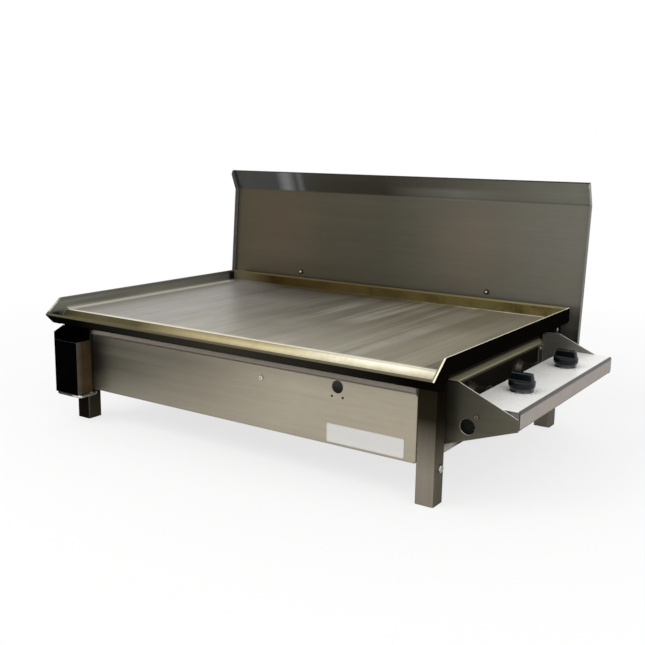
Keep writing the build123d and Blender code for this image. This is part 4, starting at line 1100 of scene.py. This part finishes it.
# Its edge colour paints a highlight line along the knob's edges
KNOB_FINISH = Speckled(
    "moulded black", (5, 9, 12), metallic=0.0, gloss=0.22, roughness=0.17, spread=0.08, contrast=0.15,
    relief=0.05, scale=1600.0, wear=0.5, wear_and_highlight_colour=(88, 100, 106), wear_width=1.1 * MM,
)
BEZEL_FINISH = Speckled(
    "dark chrome", (70, 72, 77), metallic=1.0, roughness=0.14, spread=0.06, contrast=0.08, relief=0.03,
    scale=1600.0,
)
WIRE_FINISH = Drawn(
    "bright wire", (196, 195, 190), metallic=1.0, grain=Grain.ALONG_Z, roughness=0.26, contrast=0.10,
    gloss=0.0,
    # Painted shade of the can on the cradle's front left
    tints=(Tint((26, 24, 22), 0.9, below(-0.306, 0.008), below(-0.245, 0.006), bare=False),),
)
CAN_FINISH = Speckled(
    "black can enamel", (3, 3, 3), metallic=0.0, gloss=0.0, roughness=0.34, spread=0.14, contrast=0.25,
    relief=0.08, scale=700.0, smears=0.1, smear_colour=(14, 12, 9), wear=0.6, wear_and_highlight_colour=(126, 121, 112),
    tints=(
        # Painted light: the side faces lighter than the black front, the right face most, its front part most
        # of all
        Tint((40, 36, 29), 0.9, below(CAN_LOW.x + CAN_SKIN), side=CAN_SIDES[LEFT]),
        Tint((34, 30, 24), 0.9, y=past(CAN_HIGH.y - CAN_SKIN), side=CAN_SIDES[REAR]),
        Tint((74, 62, 43), 0.95, past(CAN_HIGH.x - CAN_SKIN), side=CAN_SIDES[RIGHT]),
        Tint((98, 94, 82), 0.6, past(CAN_HIGH.x - CAN_SKIN), below(-0.2475, 0.008), side=CAN_SIDES[RIGHT]),
    ),
)
BLANK_FINISH = Drawn(
    "blank plate", (208, 206, 202), grain=Grain.ALONG_X, metallic=0.0, roughness=0.34, contrast=0.03,
    wear=0.6, wear_and_highlight_colour=(150, 146, 140),
)
INK_FINISH = Speckled(
    "dial ink", (70, 70, 72), metallic=0.0, roughness=0.5, contrast=0.2, relief=0.05, wear=0.2,
    wear_and_highlight_colour=(120, 120, 120),
)


class Assembly:
    """A sub-assembly that builds its own pieces and dresses its CAD nodes."""

    def build(self) -> None:
        """Builds the pieces that the CAD model leaves to the scene."""

    def dress(self) -> None:
        """Gives each CAD node its finish."""

    @staticmethod
    def cover(piece: Piece, finish: Finish) -> None:
        """Makes a finish the only material of a piece."""
        piece.data.materials.clear()
        piece.data.materials.append(finish.material())

    @classmethod
    def wear(cls, finish: Finish, *nodes: str) -> None:
        """Puts a finish on CAD nodes.

        Args:
            finish: The finish.
            *nodes: Names of the nodes.
        """
        for name in nodes:
            cls.cover(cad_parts[name], finish)
            LOG.info("dressed %s in %s", name, finish.name)

    @classmethod
    def fit(cls, piece: Piece, finish: Finish, body: str, slot: str, *stands_for: str) -> None:
        """Finishes a new piece and ties it to its body.

        Args:
            piece: The piece.
            finish: Its finish.
            body: The CAD body that it moves with.
            slot: The record's material slot; not used.
            *stands_for: CAD nodes that it replaces.
        """
        cls.cover(piece, finish)
        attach(piece, body)
        if stands_for:
            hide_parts(*stands_for)
        LOG.info("built %s", piece.name)


@dataclass
class Hotplate(Assembly):
    """The folded cooking plate with its gutter."""

    def dress(self) -> None:
        """Gives the plate its cooking face, with painted reflections and shade, and its outside painted black
        as shade.
        """
        self.wear(PLATE_FINISH, "hotplate")


@dataclass
class Skirt(Assembly):
    """The four skirt panels and the bare name plate.

    Attributes:
        plate_width: Width of the bare plate.
        plate_height: Its height.
        plate_thick: Its thickness.
        plate_middle: Where its middle is along X and Z.
        plate_rim: Its corners and rim.
    """

    plate_width: float = 120 * MM
    plate_height: float = 26.5 * MM
    plate_thick: float = 0.7 * MM
    plate_middle: tuple[float, float] = (228.4 * MM, 70.2 * MM)
    plate_rim: Rim = Rim(corner=2.5 * MM, steps=5, flat=0.9 * MM, slope=0.35 * MM, sink=0.25 * MM)

    def build(self) -> None:
        """Builds the bare plate with rounded corners and a pressed rim."""
        x, z = self.plate_middle
        back = Vector((x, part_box("front_panel")[0].y, z))
        front = back - Vector((0.0, self.plate_thick, 0.0))
        half = Vector((self.plate_width / 2, 0.0, self.plate_height / 2))
        plate = Bench.plaque("name_plate_blank", front - half, back + half, FRONT, self.plate_rim)
        self.fit(plate, BLANK_FINISH, "frame", "bright_fastener")

    def dress(self) -> None:
        """Gives each panel its brushed steel."""
        self.wear(FRONT_FINISH, "front_panel")
        self.wear(REAR_FINISH, "rear_panel")
        self.wear(SKIRT_FINISH, "side_panel_left", "side_panel_right")


@dataclass
class Legs(Assembly):
    """The four legs with their bolts."""

    def dress(self) -> None:
        """Gives the legs brushed tube and the bolts bright plating."""
        for end in ("front", "rear"):
            self.wear(LEG_FINISH, f"leg_{end}_left", f"leg_{end}_right")
        self.wear(BOLT_FINISH, "leg_bolts", "leg_nuts")


@dataclass
class Screws(Assembly):
    """Cross-recess screw heads that stand for the plain ones, and the fasteners that stay as they are.

    Lengths along a head are shares of its height, and lengths across it are shares of its radius.

    Attributes:
        root: How far a head reaches into its seat.
        flat: Width of the ring round the flat of its top.
        dome: Size of the rounded rim.
        rim: Share of the radius and the height past which an edge belongs to the rim.
        steps: Facets of the rounded rim.
        arm: Length of the recess from end to end.
        slot: Width of an arm.
        depth: Depth of the recess.
        clear: Height to which the cutter reaches.
        taper: Size of the cutter's foot as a share of its top along X, Y and Z.
    """

    root: float = 0.2
    flat: float = 0.3
    dome: float = 0.45
    rim: float = 0.9
    steps: int = 5
    arm: float = 1.15
    slot: float = 0.26
    depth: float = 0.55
    clear: float = 1.4
    taper: Triple = (0.6, 0.8, 1.0)

    def head(self, radius: float, height: float) -> Piece:
        """Models one pan head up the Z axis.

        Args:
            radius: Radius of the head.
            height: Its height.

        Returns:
            The head, round the origin.
        """

        def on_rim(a: Vector, b: Vector) -> bool:
            """Tells whether an edge lies on the outer rim of the top."""
            high = min(a.z, b.z) > self.rim * height
            return high and min(a.xy.length, b.xy.length) > self.rim * radius

        made = Bench.drum("screw_head", radius, -self.root * height, height)
        with Bench.editing(made):
            Bench.pick_side(made, UP)
            bpy.ops.mesh.inset(thickness=self.flat * radius)
            Bench.pick_edges(made, on_rim)
            bpy.ops.mesh.bevel(offset=self.dome * height, segments=self.steps, affect="EDGES")
        half = Vector((self.arm * radius / 2, self.slot * radius / 2, 0.0))
        foot = Vector((0.0, 0.0, (1 - self.depth) * height))
        top = Vector((0.0, 0.0, self.clear * height))
        for turn in (0.0, math.pi / 2):
            cutter = Bench.block("recess", foot - half, top + half)
            with Bench.editing(cutter):
                Bench.pick_side(cutter, DOWN)
                bpy.ops.transform.resize(value=self.taper)
            cutter.matrix_world = Matrix.Rotation(turn, 4, "Z")
            Bench.carve(made, cutter)
        Bench.smooth(made)
        return made

    def row(
        self, node: str, finish: Finish, radius: float, height: float, spots: list[tuple[Vector, Vector]]
    ) -> None:
        """Builds heads at several places for one CAD node.

        Args:
            node: The node that they stand for.
            finish: Their finish.
            radius: Radius of each head.
            height: Its height.
            spots: Where each head's seat is, and the way that it looks.
        """
        places = [facing_matrix(*spot) for spot in spots]
        heads = Bench.copies(self.head(radius, height), f"{node.removesuffix('s')}_heads", places)
        self.fit(heads, finish, "frame", "bright_fastener", node)

    def build(self) -> None:
        """Builds the screws of the plate's lugs, the cross bar and the control box."""
        low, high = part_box("plate_screws")
        radius = (high.z - low.z) / 2
        height = high.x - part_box("leg_front_right")[1].x
        level = (low.z + high.z) / 2
        spots = [
            (Vector((side * (high.x - height), y, level)), Vector((side, 0, 0)))
            for side in (-1, 1)
            for y in (low.y + radius, high.y - radius)
        ]
        self.row("plate_screws", BOLT_FINISH, radius, height, spots)
        for node, wall, finish in (
            ("bar_screws", "front_panel", BOLT_FINISH), ("bracket_screws", "end_plate_front", DULL_FINISH),
        ):
            low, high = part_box(node)
            radius = (high.z - low.z) / 2
            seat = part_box(wall)[0].y
            middle = (low + high) / 2
            back = low.y + high.y - seat
            spots = [
                (Vector((middle.x, seat, middle.z)), Vector(FRONT)),
                (Vector((middle.x, back, middle.z)), Vector(REAR)),
            ]
            self.row(node, finish, radius, seat - low.y, spots)

    def dress(self) -> None:
        """Gives the fasteners that stay as they are their plating."""
        self.wear(BOLT_FINISH, "splash_nuts", "box_rivets", "strap_rivets")
        self.wear(SHADED_SCREW_FINISH, "splash_screws")


@dataclass
class Splashback(Assembly):
    """The leaning splashback on its straps."""

    def dress(self) -> None:
        """Gives the sheet its brushed face and the straps plain plating."""
        self.wear(SPLASH_FINISH, "splashback")
        self.wear(STRIP_FINISH, "strap_left", "strap_right")


@dataclass
class Burners(Assembly):
    """The tube burners on their cross bar."""

    def dress(self) -> None:
        """Gives the tubes their heat tints and the bar plain plating."""
        self.wear(BURNER_FINISH, "burner_front", "burner_rear")
        self.wear(BAR_FINISH, "cross_bar")


@dataclass
class ControlBox(Assembly):
    """The box at the right end: end plates, fascia and dial marks.

    Attributes:
        tick_length: Length of a dial mark.
        tick_width: Its width at the outer end.
        tick_taper: Its width at the inner end as a share of that along X, Y and Z.
        tick_thick: Thickness of the ink.
        tick_corner: Radius of its corners.
        tick_steps: Facets of each corner.
        tick_gap: Distance from the bezel's brim to the marks.
        ticks: Marks over the half turn.
        strip_thick: Thickness of the bare strip on the lip.
        strip_down: Distance from the lip's top edge to the strip.
        strip_up: Distance from the lip's bottom edge to the strip.
        strip_in: Distance from the lip's ends to the strip.
        strip_rim: Its corners and rim.
    """

    tick_length: float = 3.2 * MM
    tick_width: float = 0.9 * MM
    tick_taper: Triple = (1.0, 0.5, 1.0)
    tick_thick: float = 0.10 * MM
    tick_corner: float = 0.15 * MM
    tick_steps: int = 2
    tick_gap: float = 2.0 * MM
    ticks: int = 7
    strip_thick: float = 0.25 * MM
    strip_down: float = 4.2 * MM
    strip_up: float = 2.2 * MM
    strip_in: float = 1.5 * MM
    strip_rim: Rim = Rim(corner=1.2 * MM, steps=4, flat=0.6 * MM, slope=0.2 * MM, sink=0.08 * MM)

    def strip(self) -> None:
        """Builds the bare strip on the fascia's lip."""
        low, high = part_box("fascia")
        near = Vector((high.x, low.y + self.strip_in, low.z + self.strip_up))
        far = Vector((high.x + self.strip_thick, high.y - self.strip_in, high.z - self.strip_down))
        strip = Bench.plaque("lip_strip_blank", near, far, RIGHT, self.strip_rim)
        self.fit(strip, LABEL_FINISH, "frame", "white_enamel")

    def dial(self, end: str) -> None:
        """Builds the plain dial marks round one knob.

        Args:
            end: Which knob, front or rear.
        """
        low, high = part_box(f"bezel_{end}")
        middle = (low + high) / 2
        reach = (high.x - low.x) / 2 + self.tick_gap
        half = self.tick_width / 2
        outer = Vector((reach + self.tick_length, half, self.tick_thick))
        tick = Bench.block("tick", Vector((reach, -half, 0.0)), outer)
        with Bench.editing(tick):
            Bench.pick_side(tick, LEFT)
            bpy.ops.transform.resize(value=self.tick_taper)
            Bench.round_corners(tick, UP, self.tick_thick, self.tick_corner, self.tick_steps)
        spot = Matrix.Translation((middle.x, middle.y, low.z))
        turns = [math.pi * (step / (self.ticks - 1) - 0.5) for step in range(self.ticks)]
        places = [spot @ Matrix.Rotation(turn, 4, "Z") for turn in turns]
        self.fit(Bench.copies(tick, f"dial_marks_{end}", places), INK_FINISH, "frame", "knob_black")

    def build(self) -> None:
        """Builds the bare strip and the dial marks of both knobs."""
        self.strip()
        for end in ("front", "rear"):
            self.dial(end)

    def dress(self) -> None:
        """Gives the box its steel and the fascia its enamel."""
        self.wear(END_FINISH, "end_plate_front", "end_plate_rear")
        self.wear(ENAMEL_FINISH, "fascia")


@dataclass
class GasTaps(Assembly):
    """Both gas taps: knob, bezel, spindle, washer, spring, valve and injector.

    Attributes:
        wire: Radius of the return springs' wire.
        sides: Corners of the wire's outline.
        turns: Turns of a return spring.
        steps: Corners in each turn.
        sharp: Degrees past which an edge of the spring stays sharp.
        push: How far a knob is pushed in; not used.
    """

    wire: float = 0.6 * MM
    sides: int = 10
    turns: int = 4
    steps: int = 28
    sharp: float = 50.0
    push: float = 3.5 * MM

    def spring(self, end: str) -> None:
        """Winds a return spring.

        Args:
            end: Which tap, front or rear.
        """
        low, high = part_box(f"spring_{end}")
        middle = (low + high) / 2
        height = high.z - low.z
        reach = (high.x - low.x) / 2 - self.wire
        Bench.clear()
        bpy.ops.mesh.primitive_circle_add(
            vertices=self.sides, radius=self.wire, rotation=(math.pi / 2, 0.0, 0.0)
        )
        coil = Bench.settle(f"return_spring_{end}")
        with Bench.editing(coil):
            bpy.ops.mesh.select_all(action="SELECT")
            bpy.ops.transform.translate(value=(reach, 0.0, low.z + self.wire))
        wound = coil.modifiers.new("wound", "SCREW")
        wound.angle = 2 * math.pi
        wound.screw_offset = (height - 2 * self.wire) / self.turns
        wound.iterations = self.turns
        wound.steps = wound.render_steps = self.steps
        bpy.ops.object.modifier_apply(modifier=wound.name)
        with Bench.editing(coil):
            bpy.ops.mesh.select_mode(type="VERT")
            bpy.ops.mesh.select_non_manifold()
            bpy.ops.mesh.fill_holes(sides=0)
            bpy.ops.mesh.select_all(action="SELECT")
            bpy.ops.mesh.normals_make_consistent(inside=False)
            bpy.ops.transform.translate(value=(middle.x, middle.y, 0.0))
        Bench.smooth(coil, self.sharp)
        self.fit(coil, SPRING_FINISH, "frame", "spring_steel", f"spring_{end}")
        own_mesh(coil)

    def build(self) -> None:
        """Builds the return springs."""
        for end in ("front", "rear"):
            self.spring(end)

    def dress(self) -> None:
        """Gives each piece of the taps its finish."""
        for end in ("front", "rear"):
            self.wear(KNOB_FINISH, f"knob_{end}")
            self.wear(BEZEL_FINISH, f"bezel_{end}")
            self.wear(BRASS_FINISH, f"spindle_{end}", f"injector_{end}")
            self.wear(SPRING_FINISH, f"thrust_washer_{end}")
            self.wear(VALVE_FINISH, f"valve_{end}")


@dataclass
class GasLine(Assembly):
    """The gas rail with its inlet and brackets."""

    def dress(self) -> None:
        """Gives the rail and its brackets plating and the inlet brass."""
        self.wear(RAIL_FINISH, "gas_rail")
        self.wear(BRASS_FINISH, "gas_inlet")
        self.wear(BAR_FINISH, "rail_bracket_front", "rail_bracket_rear")


@dataclass
class GreaseCan(Assembly):
    """The grease can on its wire cradle."""

    def dress(self) -> None:
        """Gives the can black enamel and the wire bright plating."""
        self.wear(CAN_FINISH, "grease_can")
        self.wear(WIRE_FINISH, "can_cradle")


@dataclass(frozen=True)
class Lamp:
    """A soft square lamp.

    Attributes:
        name: Name of the lamp.
        place: Where it hangs.
        size: Width of its face.
        power: Its power in watts.
    """

    name: str
    place: Triple
    size: float
    power: float


@dataclass
class Studio:
    """Floor, light and camera.

    Attributes:
        eye: Where the camera stands.
        yaw: Turn of its line of sight to the left.
        pitch: Fall of its line of sight.
        roll: Tilt of the picture.
        lens: Focal length in millimetres.
        sensor: Width of the sensor in millimetres.
        lamps: The lamps.
        target: Where the lamps look.
        sky: Strength of the light from all round.
        floor_size: Width of the floor.
        floor_drop: How far it lies below the feet.
        floor_colour: Tone of the floor.
        floor_shade: Painted shadow, a darker patch of the floor under the object.
        near: Distance from the middle up to which the floor keeps the most shadow.
        far: Distance past which it keeps none.
        near_glow: Share of plain white in the floor up to the near distance.
    """

    eye: Triple = (0.8136, -1.1973, 0.4495)
    yaw: float = math.radians(33.9)
    pitch: float = math.radians(11.05)
    roll: float = math.radians(0.94)
    lens: float = 50.04
    sensor: float = 36.0
    lamps: tuple[Lamp, ...] = (
        Lamp("key", (-0.9, -1.5, 1.9), 1.6, 24.0),
        Lamp("fill", (1.7, -0.7, 1.3), 1.4, 10.0),
    )
    target: Triple = (0.0, 0.0, 0.15)
    sky: float = 0.78
    floor_size: float = 12.0
    floor_drop: float = 0.5 * MM
    floor_colour: Colour = (236, 236, 235)
    floor_shade: Tint = Tint((84, 83, 82), x=Span(-0.31, 0.18, 0.14), y=Span(-0.02, 0.3, 0.12))
    near: float = 0.55
    far: float = 1.6
    near_glow: float = 0.74

    def camera(self) -> None:
        """Sets up the camera at the photograph's angle."""
        data = bpy.data.cameras.new("camera")
        data.lens = self.lens
        data.sensor_width = self.sensor
        camera = bpy.data.objects.new("camera", data)
        bpy.context.scene.collection.objects.link(camera)
        turn = Matrix.Rotation(self.yaw, 4, "Z") @ Matrix.Rotation(math.pi / 2 - self.pitch, 4, "X")
        camera.matrix_world = Matrix.Translation(self.eye) @ turn @ Matrix.Rotation(self.roll, 4, "Z")
        bpy.context.scene.camera = camera

    def world(self) -> None:
        """Sets up a white background with soft light from all round."""
        world = bpy.data.worlds.new("studio")
        world.use_nodes = True
        bpy.context.scene.world = world
        tree = Tree(world.node_tree)
        path = tree.add("ShaderNodeLightPath")
        rays = (path.outputs[f"Is {kind} Ray"] for kind in ("Camera", "Glossy", "Transmission"))
        seen = reduce(lambda one, other: tree.math("MAXIMUM", one, other), rays)
        light = tree.add("ShaderNodeBackground")
        tree.feed(light.inputs["Strength"], tree.span(seen, 0.0, 1.0, start=self.sky))
        tree.feed(light.inputs["Color"], WHITE)
        tree.feed(tree.add("ShaderNodeOutputWorld").inputs["Surface"], light.outputs[0])

    def floor(self) -> None:
        """Lays a pale floor that keeps the object's shadow, with a painted shadow under the object."""
        Bench.clear()
        bpy.ops.mesh.primitive_plane_add(size=self.floor_size, location=(0.0, 0.0, -self.floor_drop))
        floor = bpy.context.object
        floor.name = "floor"
        made = bpy.data.materials.new("pale floor")
        made.use_nodes = True
        tree = Tree(made.node_tree)
        place = tree.add("ShaderNodeTexCoord").outputs["Object"]
        # Painted shadow under the object, which also keeps the glow off there
        shade = self.floor_shade.mask(tree, place, place)
        matt = tree.add("ShaderNodeBsdfDiffuse")
        tones = (linear(self.floor_colour), linear(self.floor_shade.colour))
        tree.feed(matt.inputs["Color"], tree.mix(shade, *tones))
        glow = tree.add("ShaderNodeEmission")
        tree.feed(glow.inputs["Color"], WHITE)
        bright = tree.span(tree.vector("LENGTH", place), self.near, self.far, start=self.near_glow)
        path = tree.add("ShaderNodeLightPath")
        open_floor = tree.math("SUBTRACT", 1.0, shade)
        both = tree.add("ShaderNodeMixShader")
        tree.feed(both.inputs[0], tree.product(path.outputs["Is Camera Ray"], open_floor, bright))
        tree.feed(both.inputs[1], matt.outputs[0])
        tree.feed(both.inputs[2], glow.outputs[0])
        tree.feed(tree.add("ShaderNodeOutputMaterial").inputs["Surface"], both.outputs[0])
        floor.data.materials.append(made)

    def hang(self, lamp: Lamp) -> None:
        """Hangs a lamp that looks at the object.

        Args:
            lamp: The lamp.
        """
        data = bpy.data.lights.new(lamp.name, "AREA")
        data.size = lamp.size
        data.energy = lamp.power
        made = bpy.data.objects.new(lamp.name, data)
        bpy.context.scene.collection.objects.link(made)
        place = Vector(lamp.place)
        made.matrix_world = facing_matrix(place, place - Vector(self.target))

    def build(self) -> None:
        """Sets up the whole studio."""
        self.camera()
        self.world()
        self.floor()
        for lamp in self.lamps:
            self.hang(lamp)
        bpy.context.scene.view_settings.view_transform = "Standard"
        LOG.info("set up the studio")


def main() -> None:
    """Builds and dresses every sub-assembly."""
    logging.basicConfig(level=logging.INFO, format="%(name)s: %(message)s")
    Studio().build()
    assemblies: list[Assembly] = [
        Hotplate(), Skirt(), Legs(), Splashback(), Burners(), ControlBox(), GasTaps(), GasLine(), GreaseCan(),
        Screws(),
    ]
    for assembly in assemblies:
        assembly.build()
        assembly.dress()
    Bench.clear()


if __name__ == "__main__":
    main()
